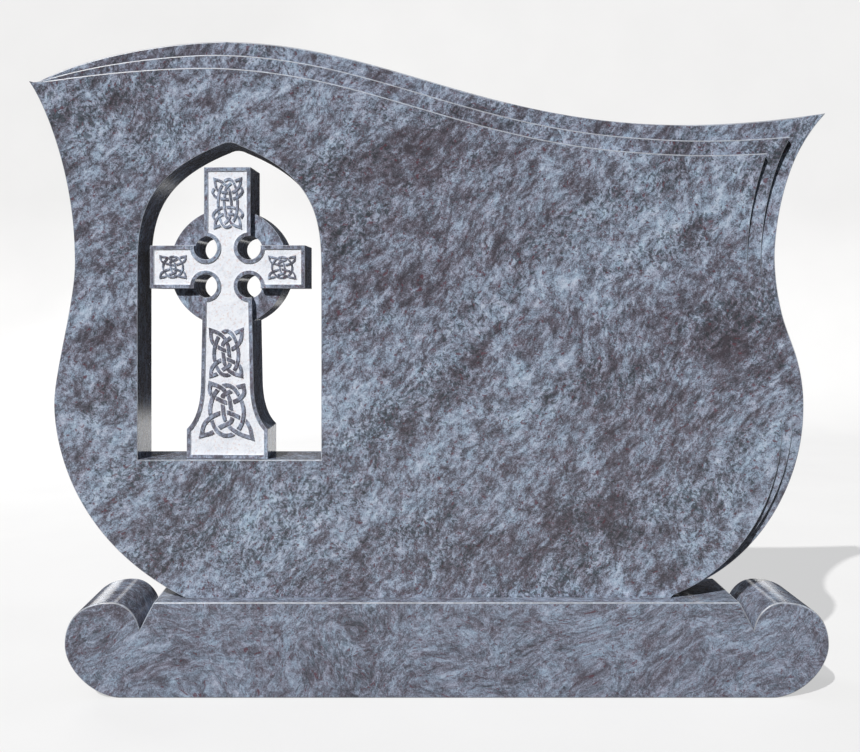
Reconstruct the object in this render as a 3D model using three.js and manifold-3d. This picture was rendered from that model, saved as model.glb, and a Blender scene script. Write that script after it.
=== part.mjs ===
// Celtic cross headstone: slab with a pointed window, a cross standing in it, and a base with rolled ends.
// Millimetres, +Z up. The faces look along -Y. The origin is on the ground, midway between the slab's tips.
import * as THREE from "three";
import { mergeVertices } from "three/addons/utils/BufferGeometryUtils.js";
import Module from "manifold-3d";

const wasm = await Module();
wasm.setup();
const { Manifold, Mesh: SolidMesh } = wasm;

// Base
const BASE_LENGTH = 1219.2;
const BASE_DEPTH = 152.4;
const BASE_HEIGHT = 152.4;
const BASE_SHIFT = 25.4; // the base reaches further to the right than to the left of the slab's middle
const NOTCH_CORNER_FROM_END = 142;
const NOTCH_FOOT_FROM_END = 119.6;
const NOTCH_FOOT_HEIGHT = 109.3;
const ROLL_CREST_FROM_END = 73.5;
const ROLL_EYE_HEIGHT = 85;
const ROLL_UNDERCUT = 92; // length of the underside lost to the roll's lower curve

// Slab
const SLAB_THICKNESS = 101.6;
const TIP_SPAN = 1299.4;
const LEFT_TIP_HEIGHT = 836.6; // heights on the slab are above its own underside
const RIGHT_TIP_HEIGHT = 789.1;
const CREST = { x: -341.9, z: 906.3 };
const TROUGH = { x: 416.1, z: 769.8 };
const LEFT_WAIST = { x: -575.5, z: 544.7 };
const LEFT_BELLY = { x: -609, z: 314.8 };
const LEFT_FOOT_X = -395.6;
const RIGHT_WAIST = { x: 559.7, z: 546 };
const RIGHT_BELLY = { x: 604.4, z: 297.2 };
const RIGHT_FOOT_X = 388.2;

// Stepped rebates of the slab's front
const STEP_WIDTH = 25.4;
const STEP_DEPTH = 12.7;
const STEP_GROWTH_LENGTH = 450; // from the left tip to the full width
const STEP_FLARE = 7.5; // extra width at the right tip
const STEP_FLARE_LENGTH = 300;
const STEP_FULL_ABOVE = 717.6; // below this height on the right side the steps grow shallower
const STEP_FADE_HEIGHT = 478.6; // where they have run out, at the waist
const STEP_WAIST_WIDTH = 22; // width of a step where it has run out
const LOW_STEP_START = 330; // height on the belly where the lower steps begin
const LOW_STEP_INNER = 38;
const LOW_STEP_OUTER = 18;

// Window
const WINDOW_WIDTH = 297.2;
const WINDOW_CENTRE_X = -325.3;
const SILL_HEIGHT = 224;
const SPRING_HEIGHT = 531.2;
const ARCH_TOP_HEIGHT = 738.1;
const ARCH_SOFTENING = 14; // half width of the rounded tip of the arch

// Cross
const CROSS_HEADROOM = 40.1; // between the cross's top and the tip of the arch
const CROSS_HEIGHT = ARCH_TOP_HEIGHT - SILL_HEIGHT - CROSS_HEADROOM;
const CROSS_DEPTH = 88;
const CROSS_SETBACK = 8; // from the slab's front to the cross's front, at its middle
const CROSS_TURN = 2.5; // degrees, clockwise seen from above
const CROSS_SHIFT = -4.8; // its front's middle, left of the window's middle
const REST_GAP = 0.3;
const HEAD_HALF_WIDTH = 38.1;
const HEAD_LENGTH = 162.2; // from the middle of the arms to the top
const ARM_CENTRE_HEIGHT = CROSS_HEIGHT - HEAD_LENGTH;
const ARM_HALF_HEIGHT = 35;
const ARM_HALF_SPAN = 127;
const SHAFT_TOP_HALF = 40;
const FLARE_HALF = 43.3;
const FLARE_HEIGHT = 118;
const FOOT_HALF_WIDTH = 66.4;
const FOOT_HEIGHT = 48.3;
const DISC_RADIUS = 97;
const DISC_SETBACK = 12.7;
const EYE_RADIUS = 19.05;
const EYE_OFFSET_X = 35.7;
const EYE_OFFSET_Z = 31;
const RIM_WIDTH = 6.35;
const BORDER_WIDTH = 6.4;
const FIELD_DEPTH = 2; // sunk field, and the height of the knotwork standing in it

// Knot panels: middle, half sizes, strand width and how far the weave is raised in its panel, in the
// cross's own frame
const STRAND_GAP_SHARE = 0.36; // clear gap beside the strand above, as a share of the strand's width
const HEAD_KNOT_BELOW_TOP = 58.3;
const ARM_KNOT_OUT = 89.4;
const SHAFT_KNOT_SHARE = 0.5484; // heights on the shaft, as shares of the height of the arms
const FOOT_KNOT_SHARE = 0.255;
const SHAFT_KNOT_HALF_SHARE = 0.1267;
const FOOT_KNOT_HALF_SHARE = 0.1491;
const HEAD_KNOT = {
  x: 0.5, z: CROSS_HEIGHT - HEAD_KNOT_BELOW_TOP, halfTop: 24, halfFoot: 24, halfHeight: 42.5, strand: 3.9,
  rise: 0,
};
const LEFT_KNOT = {
  x: -ARM_KNOT_OUT, z: ARM_CENTRE_HEIGHT + 0.5, halfTop: 21.5, halfFoot: 21.5, halfHeight: 19.2, strand: 3.2,
  rise: 0,
};
const RIGHT_KNOT = {
  x: ARM_KNOT_OUT, z: ARM_CENTRE_HEIGHT - 0.5, halfTop: 21.5, halfFoot: 21.5, halfHeight: 19.2, strand: 3.2,
  rise: 0,
};
const SHAFT_KNOT = {
  x: -2,
  z: ARM_CENTRE_HEIGHT * SHAFT_KNOT_SHARE,
  halfTop: 25.5,
  halfFoot: 25.5,
  halfHeight: ARM_CENTRE_HEIGHT * SHAFT_KNOT_HALF_SHARE,
  strand: 5.4,
  rise: -0.08,
};
const FOOT_KNOT = {
  x: -1,
  z: ARM_CENTRE_HEIGHT * FOOT_KNOT_SHARE,
  halfTop: 27,
  halfFoot: 43,
  halfHeight: ARM_CENTRE_HEIGHT * FOOT_KNOT_HALF_SHARE,
  strand: 6,
  rise: 0.15,
};

const FRONT = -SLAB_THICKNESS / 2;
const GROUND_TO_SLAB = BASE_HEIGHT;
const POINT_TOLERANCE = 0.2;

// Solids from outlines

const turnUpright = (geometry) => geometry.rotateX(Math.PI / 2);

function solidOf(geometry) {
  geometry.deleteAttribute("normal");
  geometry.deleteAttribute("uv");
  const merged = mergeVertices(geometry, 1e-4);
  return new Manifold(
    new SolidMesh({
      numProp: 3,
      vertProperties: new Float32Array(merged.attributes.position.array),
      triVerts: new Uint32Array(merged.index.array),
    }),
  );
}

// Prism of an outline in the X-Z plane, between two depths
function prism(outline, front, back) {
  const shape = new THREE.Shape(outline);
  const geometry = new THREE.ExtrudeGeometry(shape, { depth: back - front, bevelEnabled: false, steps: 1 });
  turnUpright(geometry);
  geometry.translate(0, back, 0);
  return solidOf(geometry);
}

// Prism of an outline in the Y-Z plane, running the whole length of the slab
function lengthwisePrism(outline) {
  const shape = new THREE.Shape(outline);
  const geometry = new THREE.ExtrudeGeometry(shape, { depth: TIP_SPAN + 100, bevelEnabled: false, steps: 1 });
  geometry.applyMatrix4(new THREE.Matrix4().makeBasis(
    new THREE.Vector3(0, 1, 0),
    new THREE.Vector3(0, 0, 1),
    new THREE.Vector3(1, 0, 0),
  ));
  geometry.translate(-TIP_SPAN / 2 - 50, 0, 0);
  return solidOf(geometry);
}

function disc(x, z, radius, front, back, count) {
  const outline = [];
  for (let i = 0; i < count; i += 1) {
    const angle = (2 * Math.PI * i) / count;
    outline.push(new THREE.Vector2(x + radius * Math.cos(angle), z + radius * Math.sin(angle)));
  }
  return prism(outline, front, back);
}

function meshOf(solid, name, finish) {
  const { vertProperties, triVerts } = solid.getMesh();
  const geometry = new THREE.BufferGeometry();
  geometry.setAttribute("position", new THREE.BufferAttribute(new Float32Array(vertProperties), 3));
  geometry.setIndex(new THREE.BufferAttribute(new Uint32Array(triVerts), 1));
  geometry.computeVertexNormals();
  const mesh = new THREE.Mesh(geometry, new THREE.MeshStandardMaterial(finish));
  mesh.name = name;
  return mesh;
}

// Curves and offsets

const at = (x, z) => new THREE.Vector2(x, z);

// Points of a cubic curve, the last one left out
function bend(from, fromHandle, toHandle, to, count) {
  return new THREE.CubicBezierCurve(from, fromHandle, toHandle, to).getPoints(count).slice(0, -1);
}

// Unit normals to the left of a line of points
function normalsOf(points) {
  return points.map((point, i) => {
    const before = points[Math.max(0, i - 1)];
    const after = points[Math.min(points.length - 1, i + 1)];
    const along = after.clone().sub(before).normalize();
    return at(-along.y, along.x);
  });
}

// Closed outline moved inwards by a distance, with mitred corners; the outline runs anticlockwise
function insetOutline(points, distance) {
  const count = points.length;
  return points.map((point, i) => {
    const before = point.clone().sub(points[(i + count - 1) % count]).normalize();
    const after = points[(i + 1) % count].clone().sub(point).normalize();
    const first = at(-before.y, before.x);
    const second = at(-after.y, after.x);
    const mitre = first.clone().add(second).normalize();
    return point.clone().addScaledVector(mitre, distance / Math.max(0.2, mitre.dot(first)));
  });
}

// Line of points thinned where it runs nearly straight
function thin(points, tolerance) {
  if (points.length < 3) return points;
  const first = points[0];
  const last = points[points.length - 1];
  const chord = last.clone().sub(first);
  const length = chord.length() || 1;
  let farthest = 0;
  let index = 0;
  for (let i = 1; i < points.length - 1; i += 1) {
    const offset = Math.abs(chord.cross(points[i].clone().sub(first))) / length;
    if (offset > farthest) {
      farthest = offset;
      index = i;
    }
  }
  if (farthest < tolerance) return [first, last];
  const head = thin(points.slice(0, index + 1), tolerance);
  return head.slice(0, -1).concat(thin(points.slice(index), tolerance));
}

// Slab outline, in lines that run clockwise from the left foot round the top to the right foot

function slabTop() {
  const left = at(-TIP_SPAN / 2, LEFT_TIP_HEIGHT);
  const right = at(TIP_SPAN / 2, RIGHT_TIP_HEIGHT);
  const crest = at(CREST.x, CREST.z);
  const trough = at(TROUGH.x, TROUGH.z);
  return [
    ...bend(left, at(left.x + 82, left.y + 49.7), at(crest.x - 70.6, crest.y), crest, 20),
    ...bend(crest, at(crest.x + 259, crest.y), at(trough.x - 327.6, trough.y), trough, 32),
    ...bend(trough, at(trough.x + 30, trough.y), at(right.x - 118.4, right.y - 18.4), right, 14),
    right,
  ];
}

function slabRight() {
  const tip = at(TIP_SPAN / 2, RIGHT_TIP_HEIGHT);
  const waist = at(RIGHT_WAIST.x, RIGHT_WAIST.z);
  const belly = at(RIGHT_BELLY.x, RIGHT_BELLY.z);
  const foot = at(RIGHT_FOOT_X, 0);
  return [
    ...bend(tip, at(tip.x - 77.2, tip.y - 80.7), at(waist.x, waist.y + 31), waist, 18),
    ...bend(waist, at(waist.x, waist.y - 129.8), at(belly.x, belly.y + 126.9), belly, 16),
    ...bend(belly, at(belly.x, belly.y - 131), at(foot.x + 132.8, 31), foot, 26),
    foot,
  ];
}

function slabLeft() {
  const tip = at(-TIP_SPAN / 2, LEFT_TIP_HEIGHT);
  const waist = at(LEFT_WAIST.x, LEFT_WAIST.z);
  const belly = at(LEFT_BELLY.x, LEFT_BELLY.z);
  const foot = at(LEFT_FOOT_X, 0);
  return [
    ...bend(foot, at(foot.x - 187.2, 92.7), at(belly.x, belly.y - 60), belly, 26),
    ...bend(belly, at(belly.x, belly.y + 53.6), at(waist.x, waist.y - 67.1), waist, 14),
    ...bend(waist, at(waist.x, waist.y + 154.2), at(tip.x + 15.9, tip.y - 20), tip, 18),
  ];
}

function windowOutline() {
  const half = WINDOW_WIDTH / 2;
  const x = WINDOW_CENTRE_X;
  const side = (way) => [
    at(x + way * half, SPRING_HEIGHT),
    at(x + way * half, SPRING_HEIGHT + 90.2),
    at(x + way * 135, ARCH_TOP_HEIGHT - 54),
    at(x + way * ARCH_SOFTENING, ARCH_TOP_HEIGHT - 5),
  ];
  const right = side(1);
  const left = side(-1);
  return [
    at(x - half, SILL_HEIGHT),
    at(x + half, SILL_HEIGHT),
    ...bend(...right, 16),
    ...bend(right[3], at(x + 5, ARCH_TOP_HEIGHT), at(x - 5, ARCH_TOP_HEIGHT), left[3], 6),
    ...bend(...left.reverse(), 16),
    at(x - half, SPRING_HEIGHT),
  ];
}

// Strip along a line of the outline: from a margin outside it to a given width inside it
function strip(line, widthAt) {
  const normals = normalsOf(line);
  const outside = line.map((point, i) => point.clone().addScaledVector(normals[i], 12));
  const inside = line.map((point, i) => point.clone().addScaledVector(normals[i], -widthAt(point)));
  return prism(outside.concat(inside.reverse()), FRONT - 10, SLAB_THICKNESS / 4);
}

// Width of the given number of steps at a point of the top, of the right side and of the belly

const topStepWidth = (steps) => (point) => {
  const grown = Math.min(1, Math.max(0, (point.x + TIP_SPAN / 2) / STEP_GROWTH_LENGTH));
  const flared = Math.max(0, (point.x - TIP_SPAN / 2 + STEP_FLARE_LENGTH) / STEP_FLARE_LENGTH);
  return steps * STEP_WIDTH * Math.sin((Math.PI / 2) * grown ** 0.6) + STEP_FLARE * flared;
};

const sideStepWidth = (steps) => (point) => {
  const span = STEP_FULL_ABOVE - STEP_FADE_HEIGHT;
  const full = Math.min(1, Math.max(0, (point.y - STEP_FADE_HEIGHT) / span));
  return steps * (STEP_WAIST_WIDTH + (STEP_WIDTH + 1 - STEP_WAIST_WIDTH) * full);
};

const lowStepWidth = (widest, power) => (point) => {
  const risen = Math.min(1, Math.max(0, point.y / LOW_STEP_START));
  return widest * risen ** power;
};

// One rebate: the strips of its plan, kept where its floor lies behind the slab's front
function rebate(widthSteps, depthSteps, lowWidest, lowPower) {
  const top = slabTop();
  const right = slabRight();
  const upper = right.filter((point) => point.y > STEP_FADE_HEIGHT - 20);
  const lower = right.filter((point) => point.y < LOW_STEP_START + 20);
  const plan = strip(top, topStepWidth(widthSteps))
    .add(strip(upper, sideStepWidth(widthSteps)))
    .add(strip(lower, lowStepWidth(lowWidest, lowPower)));
  const depth = depthSteps * STEP_DEPTH;
  const clear = FRONT - 0.1;
  const profile = lengthwisePrism([
    at(FRONT - 9, -20),
    at(FRONT + depth, -20),
    at(FRONT + depth, 0),
    at(clear, LOW_STEP_START),
    at(clear, STEP_FADE_HEIGHT),
    at(FRONT + depth, STEP_FULL_ABOVE),
    at(FRONT + depth, 960),
    at(FRONT - 9, 960),
  ]);
  return plan.intersect(profile);
}

function headstone() {
  const outline = [...slabLeft(), ...slabTop().slice(0, -1), ...slabRight()];
  return prism(outline, FRONT, -FRONT)
    .subtract(prism(windowOutline(), FRONT - 5, -FRONT + 5))
    .subtract(rebate(2, 1, LOW_STEP_INNER, 0.5))
    .subtract(rebate(1, 2, LOW_STEP_OUTER, 0.28))
    .translate([0, 0, GROUND_TO_SLAB]);
}

// Base, one end worked out and mirrored

function baseEnd() {
  const end = BASE_LENGTH / 2;
  const notch = at(end - NOTCH_FOOT_FROM_END, NOTCH_FOOT_HEIGHT);
  const crest = at(end - ROLL_CREST_FROM_END, BASE_HEIGHT);
  const eye = at(end, ROLL_EYE_HEIGHT);
  const under = at(end - ROLL_UNDERCUT, 0);
  return [
    at(end - NOTCH_CORNER_FROM_END, BASE_HEIGHT),
    ...bend(notch, at(notch.x + 5, notch.y + 25), at(crest.x - 23, crest.y), crest, 12),
    ...bend(crest, at(crest.x + 46, crest.y), at(eye.x, eye.y + 43), eye, 16),
    ...bend(eye, at(eye.x, eye.y - 40), at(under.x + 46, 0), under, 16),
    under,
  ];
}

function base() {
  const right = baseEnd();
  const left = right.map((point) => at(-point.x, point.y)).reverse();
  const outline = right.concat(left);
  return prism(outline, -BASE_DEPTH / 2, BASE_DEPTH / 2).translate([BASE_SHIFT, 0, 0]);
}

// Cross outline, anticlockwise from the foot's left corner
function crossOutline() {
  const armTop = ARM_CENTRE_HEIGHT + ARM_HALF_HEIGHT;
  const armFoot = ARM_CENTRE_HEIGHT - ARM_HALF_HEIGHT;
  const flareTop = at(FLARE_HALF, FLARE_HEIGHT);
  const flareFoot = at(FOOT_HALF_WIDTH, FOOT_HEIGHT);
  const flare = bend(flareFoot, at(52, 62), at(44.5, 85), flareTop, 8);
  const right = [
    at(FOOT_HALF_WIDTH, 0),
    ...flare,
    flareTop,
    at(SHAFT_TOP_HALF, armFoot),
    at(ARM_HALF_SPAN, armFoot),
    at(ARM_HALF_SPAN, armTop),
    at(HEAD_HALF_WIDTH, armTop),
    at(HEAD_HALF_WIDTH, CROSS_HEIGHT),
  ];
  return right.concat(right.map((point) => at(-point.x, point.y)).reverse());
}

// Knotwork: half of each strand is named in the panel's own square, -1 to 1; half a turn gives the rest

const KNOT_CORNERS = [
  [[-1, 1], [-0.55, 0.9], [-0.1, 0.68], [0.1, 0.42], [0.17, 0.1], [0.22, -0.2], [0.245, -0.38],
    [0.15, -0.52], [-0.24, -0.69], [-0.62, -0.9], [-1, -1]],
  [[-1, -1], [-0.94, -0.62], [-0.52, -0.3], [0, -0.19], [0.46, -0.31], [0.82, -0.46], [0.96, -0.68],
    [1, -1]],
];
const KNOT_RING = [
  [-0.46, 0.77], [-0.2, 0.92], [0.08, 0.96], [0.36, 0.86], [0.58, 0.62], [0.73, 0.32], [0.79, 0],
  [0.74, -0.32], [0.62, -0.58],
];
const LONG_KNOT_CORNERS = [
  [[-1, 1], [-0.5, 0.9], [-0.12, 0.72], [0.12, 0.55], [0.2, 0.3], [0.28, 0.02], [0.24, -0.3], [0.12, -0.62],
    [-0.2, -0.8], [-0.6, -0.92], [-1, -1]],
  [[-1, -1], [-0.93, -0.74], [-0.56, -0.5], [-0.02, -0.44], [0.42, -0.46], [0.8, -0.56], [0.94, -0.76],
    [1, -1]],
];
const LONG_KNOT_RING = [
  [-0.42, 0.72], [-0.16, 0.88], [0.15, 0.91], [0.42, 0.82], [0.62, 0.6], [0.71, 0.3],
  [0.75, -0.05], [0.68, -0.4], [0.56, -0.62],
];
const LONG_KNOT_LOOP = [
  [-0.98, 0.62], [-1.1, 0.46], [-0.96, 0.3], [-0.5, 0.19], [0.05, 0.16], [0.5, 0.19], [0.88, 0.32],
  [1.08, 0.5], [0.98, 0.66],
];

const halfTurn = (points) => points.map(([u, v]) => [-u, -v]);

function placeInPanel(panel, [u, v]) {
  const half = panel.halfFoot + ((panel.halfTop - panel.halfFoot) * (v + 1)) / 2;
  const raised = v + panel.rise * (1 - v * v);
  return at(panel.x + u * half, panel.z + raised * panel.halfHeight);
}

function smooth(panel, points, closed, perSpan) {
  const curve = new THREE.CatmullRomCurve3(
    points.map((point) => {
      const placed = placeInPanel(panel, point);
      return new THREE.Vector3(placed.x, placed.y, 0);
    }),
    closed,
    "centripetal",
  );
  const spans = closed ? points.length : points.length - 1;
  return curve.getPoints(spans * perSpan).map((point) => at(point.x, point.y));
}

// A strand: its line of points, which of them are sharp corners, and whether it closes on itself
function cornerStrand(panel, legs, perSpan) {
  const points = [];
  const corners = [];
  for (const leg of [...legs, ...legs.map(halfTurn)]) {
    corners.push(points.length);
    points.push(...smooth(panel, leg, false, perSpan).slice(0, -1));
  }
  return { points, corners, closed: true, crossings: [], firstOver: true };
}

function ringStrand(panel, half, perSpan) {
  const points = smooth(panel, [...half, ...halfTurn(half)], true, perSpan).slice(0, -1);
  return { points, corners: [], closed: true, crossings: [], firstOver: true };
}

function openStrand(panel, line, perSpan) {
  const points = smooth(panel, line, false, perSpan);
  return { points, corners: [], closed: false, crossings: [], firstOver: false };
}

const segmentsOf = (strand) => (strand.closed ? strand.points.length : strand.points.length - 1);

const wrapped = (i, count) => ((i % count) + count) % count;

const pointOf = (strand, i) => strand.points[wrapped(i, strand.points.length)];

// Where two segments cross, as the share of the first and of the second; nothing if they don't
function meeting(a, b, c, d) {
  const first = b.clone().sub(a);
  const second = d.clone().sub(c);
  const across = first.cross(second);
  if (Math.abs(across) < 1e-9) return null;
  const between = c.clone().sub(a);
  const t = between.cross(second) / across;
  const s = between.cross(first) / across;
  return t >= 0 && t < 1 && s >= 0 && s < 1 ? [t, s] : null;
}

// Every crossing that a strand settles: with itself and with the strands named after it
function findCrossings(strand, others) {
  const found = [];
  for (const other of [strand, ...others]) {
    for (let i = 0; i < segmentsOf(strand); i += 1) {
      const from = other === strand ? i + 2 : 0;
      for (let j = from; j < segmentsOf(other); j += 1) {
        const wraps = other === strand && i === 0 && j === segmentsOf(other) - 1;
        const first = [pointOf(strand, i), pointOf(strand, i + 1)];
        const second = [pointOf(other, j), pointOf(other, j + 1)];
        const hit = wraps ? null : meeting(...first, ...second);
        if (hit) {
          found.push({ here: i + hit[0], there: j + hit[1], other });
          if (other === strand) found.push({ here: j + hit[1], there: i + hit[0], other });
        }
      }
    }
  }
  return found.sort((a, b) => a.here - b.here);
}

// The strand passes over and under by turns; each lower strand is told where it dives
function weave(strand, others) {
  findCrossings(strand, others).forEach((crossing, i) => {
    const over = strand.firstOver ? i % 2 === 0 : i % 2 === 1;
    if (!over) {
      strand.crossings.push({ place: crossing.here, over: crossing.other, overPlace: crossing.there });
    } else if (crossing.other !== strand) {
      crossing.other.crossings.push({ place: crossing.there, over: strand, overPlace: crossing.here });
    }
  });
}

// The two edges of a strand, with mitred corners
function edgesOf(strand, width) {
  const half = width / 2;
  const count = strand.points.length;
  return [1, -1].map((side) => strand.points.map((point, i) => {
    const before = strand.closed || i > 0 ? pointOf(strand, i - 1) : point;
    const after = strand.closed || i < count - 1 ? pointOf(strand, i + 1) : point;
    const first = (before === point ? after.clone().sub(point) : point.clone().sub(before)).normalize();
    const second = (after === point ? point.clone().sub(before) : after.clone().sub(point)).normalize();
    const mitre = at(-first.y - second.y, first.x + second.x).normalize();
    const reach = half / Math.max(0.36, mitre.dot(at(-first.y, first.x)));
    return point.clone().addScaledVector(mitre, side * reach);
  }));
}

// Distance from a point to the stretch of a strand round a place on it
function distanceTo(strand, place, point) {
  let nearest = Infinity;
  const reach = 14;
  for (let i = Math.floor(place) - reach; i <= Math.floor(place) + reach; i += 1) {
    if (!strand.closed && (i < 0 || i >= strand.points.length - 1)) continue;
    const a = pointOf(strand, i);
    const b = pointOf(strand, i + 1);
    const along = b.clone().sub(a);
    const share = Math.min(1, Math.max(0, point.clone().sub(a).dot(along) / along.lengthSq()));
    nearest = Math.min(nearest, a.clone().addScaledVector(along, share).distanceTo(point));
  }
  return nearest;
}

// Place on an edge where it comes out from under the strand above, going the given way
function edgeLeaves(strand, edge, crossing, width, way) {
  const clear = width * (0.5 + STRAND_GAP_SHARE);
  const spot = (place) => {
    const i = Math.floor(place);
    const a = edge[wrapped(i, edge.length)];
    const b = edge[wrapped(i + 1, edge.length)];
    return a.clone().lerp(b, place - i);
  };
  let place = crossing.place;
  for (let k = 0; k < 120; k += 1) {
    const gap = distanceTo(crossing.over, crossing.overPlace, spot(place));
    if (gap >= clear) return { place, point: spot(place) };
    place += way * 0.25;
  }
  return { place, point: spot(place) };
}

// Edge points from one place to another, with those swallowed by a sharp corner left out
function edgeRun(strand, edge, start, end, width, inner) {
  const run = [start.point];
  for (let i = Math.ceil(start.place + 0.05); i < end.place - 0.05; i += 1) {
    const count = strand.points.length;
    const index = wrapped(i, count);
    const near = strand.corners.find((corner) => {
      const gap = strand.points[corner].distanceTo(strand.points[index]);
      return corner !== index && gap < width * 1.15 && Math.abs(index - corner) < count / 4;
    });
    const sharp = strand.corners.includes(index);
    if (near === undefined || sharp || !inner) run.push(edge[index]);
  }
  run.push(end.point);
  return run;
}

// Outlines of the pieces of a strand between the places where it dives
function piecesOf(strand, width) {
  const [left, right] = edgesOf(strand, width);
  const dives = [...strand.crossings].sort((a, b) => a.place - b.place);
  const count = strand.points.length;
  const stops = dives.map((crossing) => [left, right].map((edge) => ({
    before: edgeLeaves(strand, edge, crossing, width, -1),
    after: edgeLeaves(strand, edge, crossing, width, 1),
  })));
  const ends = [];
  for (let i = 0; i < stops.length; i += 1) {
    const last = i === stops.length - 1;
    const next = last && strand.closed ? stops[0] : stops[i + 1];
    const turn = last && strand.closed ? count : 0;
    if (next) {
      ends.push(stops[i].map((edge, k) => [
        edge.after,
        { place: next[k].before.place + turn, point: next[k].before.point },
      ]));
    }
  }
  if (!strand.closed && stops.length) {
    const tip = (place) => ({ place, point: strand.points[place] });
    ends.unshift(stops[0].map((edge) => [tip(0), edge.before]));
    ends.push(stops[stops.length - 1].map((edge) => [edge.after, tip(count - 1)]));
  }
  return ends.map(([leftEnds, rightEnds]) => {
    const turnsLeft = cornerTurn(strand, leftEnds);
    const leftRun = edgeRun(strand, left, leftEnds[0], leftEnds[1], width, turnsLeft > 0);
    const rightRun = edgeRun(strand, right, rightEnds[0], rightEnds[1], width, turnsLeft < 0);
    return thin(leftRun, POINT_TOLERANCE).concat(thin(rightRun, POINT_TOLERANCE).reverse());
  }).filter((outline) => outline.length > 2);
}

// 1 if the strand's sharp corner between two places turns left, -1 if right, 0 if there is none
function cornerTurn(strand, [start, end]) {
  const count = strand.points.length;
  for (const corner of strand.corners) {
    for (const place of [corner, corner + count]) {
      if (place > start.place && place < end.place) {
        const before = pointOf(strand, corner).clone().sub(pointOf(strand, corner - 1));
        const after = pointOf(strand, corner + 1).clone().sub(pointOf(strand, corner));
        return Math.sign(before.cross(after));
      }
    }
  }
  return 0;
}

function knot(panel, long) {
  const perSpan = 5;
  const corners = cornerStrand(panel, long ? LONG_KNOT_CORNERS : KNOT_CORNERS, perSpan);
  const ring = ringStrand(panel, long ? LONG_KNOT_RING : KNOT_RING, perSpan);
  weave(corners, [ring]);
  const strands = [corners, ring];
  if (long) {
    for (const line of [LONG_KNOT_LOOP, halfTurn(LONG_KNOT_LOOP)]) {
      const loop = openStrand(panel, line, perSpan);
      weave(loop, [corners, ring]);
      strands.push(loop);
    }
  }
  const outlines = strands.flatMap((strand) => piecesOf(strand, panel.strand));
  const face = -CROSS_DEPTH / 2;
  return Manifold.union(outlines.map((outline) => prism(outline, face, face + FIELD_DEPTH + 0.5)));
}

// Cross, built about the middle of its foot and then turned and set on the sill
function celticCross() {
  const face = -CROSS_DEPTH / 2;
  const back = CROSS_DEPTH / 2;
  const outline = crossOutline();
  const eyes = [];
  const rims = [];
  for (const side of [-1, 1]) {
    for (const level of [-1, 1]) {
      const x = side * EYE_OFFSET_X;
      const z = ARM_CENTRE_HEIGHT + level * EYE_OFFSET_Z;
      eyes.push(disc(x, z, EYE_RADIUS, face - 5, back + 5, 32));
      rims.push(disc(x, z, EYE_RADIUS + RIM_WIDTH, face - 2, face + FIELD_DEPTH + 1, 40));
    }
  }
  const field = prism(insetOutline(outline, BORDER_WIDTH), face - 1, face + FIELD_DEPTH)
    .subtract(Manifold.union(rims));
  const knots = [
    knot(HEAD_KNOT, true),
    knot(LEFT_KNOT, false),
    knot(RIGHT_KNOT, false),
    knot(SHAFT_KNOT, false),
    knot(FOOT_KNOT, false),
  ];
  const turn = -CROSS_TURN;
  return prism(outline, face, back)
    .add(disc(0, ARM_CENTRE_HEIGHT, DISC_RADIUS, face + DISC_SETBACK, back, 72))
    .subtract(field)
    .subtract(Manifold.union(eyes))
    .add(Manifold.union(knots))
    .rotate([0, 0, turn])
    .translate([
      WINDOW_CENTRE_X + CROSS_SHIFT + (CROSS_DEPTH / 2) * Math.sin((CROSS_TURN * Math.PI) / 180),
      FRONT + CROSS_SETBACK + (CROSS_DEPTH / 2) * Math.cos((CROSS_TURN * Math.PI) / 180),
      GROUND_TO_SLAB + SILL_HEIGHT + REST_GAP,
    ]);
}

const part = new THREE.Group();
part.name = "celtic_cross_headstone";
part.add(meshOf(headstone(), "headstone", { color: 0x8c96a5, roughness: 0.25, metalness: 0 }));
part.add(meshOf(celticCross(), "celtic_cross", { color: 0xd2d8e2, roughness: 0.6, metalness: 0 }));
part.add(meshOf(base(), "base", { color: 0x868f9d, roughness: 0.25, metalness: 0 }));

export default part;
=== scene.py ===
import math

import bmesh
import bpy
from mathutils import Matrix, Vector, kdtree


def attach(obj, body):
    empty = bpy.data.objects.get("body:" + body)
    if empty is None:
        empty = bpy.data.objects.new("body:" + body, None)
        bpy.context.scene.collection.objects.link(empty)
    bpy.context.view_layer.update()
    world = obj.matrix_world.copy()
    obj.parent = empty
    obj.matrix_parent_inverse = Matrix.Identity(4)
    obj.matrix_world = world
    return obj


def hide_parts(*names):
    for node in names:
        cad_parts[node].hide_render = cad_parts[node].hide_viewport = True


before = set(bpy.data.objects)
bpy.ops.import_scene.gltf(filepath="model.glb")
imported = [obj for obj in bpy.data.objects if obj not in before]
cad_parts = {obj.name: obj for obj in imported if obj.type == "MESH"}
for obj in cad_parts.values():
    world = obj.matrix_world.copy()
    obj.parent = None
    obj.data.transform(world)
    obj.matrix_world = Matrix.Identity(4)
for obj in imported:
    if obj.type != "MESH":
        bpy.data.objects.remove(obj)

bl_info = {
    "name": "Celtic Cross Headstone",
    "version": (1, 0, 0),
    "blender": (4, 5, 0),
    "location": "View3D > Sidebar > Headstone",
    "description": "Polished granite memorial slab with a carved cross standing in its pointed window",
    "category": "Object",
}

# Sizes in millimetres. Heights on the slab are above its own underside, on the cross above its foot.
MM = 0.001  # a millimetre in metres

# Base
BASE_LENGTH = 1219.2
BASE_DEPTH = 152.4
BASE_HEIGHT = 152.4
BASE_SHIFT = 25.4
NOTCH_CORNER_FROM_END = 142.0
NOTCH_FOOT_FROM_END = 119.6
NOTCH_FOOT_HEIGHT = 109.3
ROLL_CREST_FROM_END = 73.5
ROLL_EYE_HEIGHT = 85.0
ROLL_UNDERCUT = 92.0  # length of the underside lost to the roll's lower curve

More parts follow.
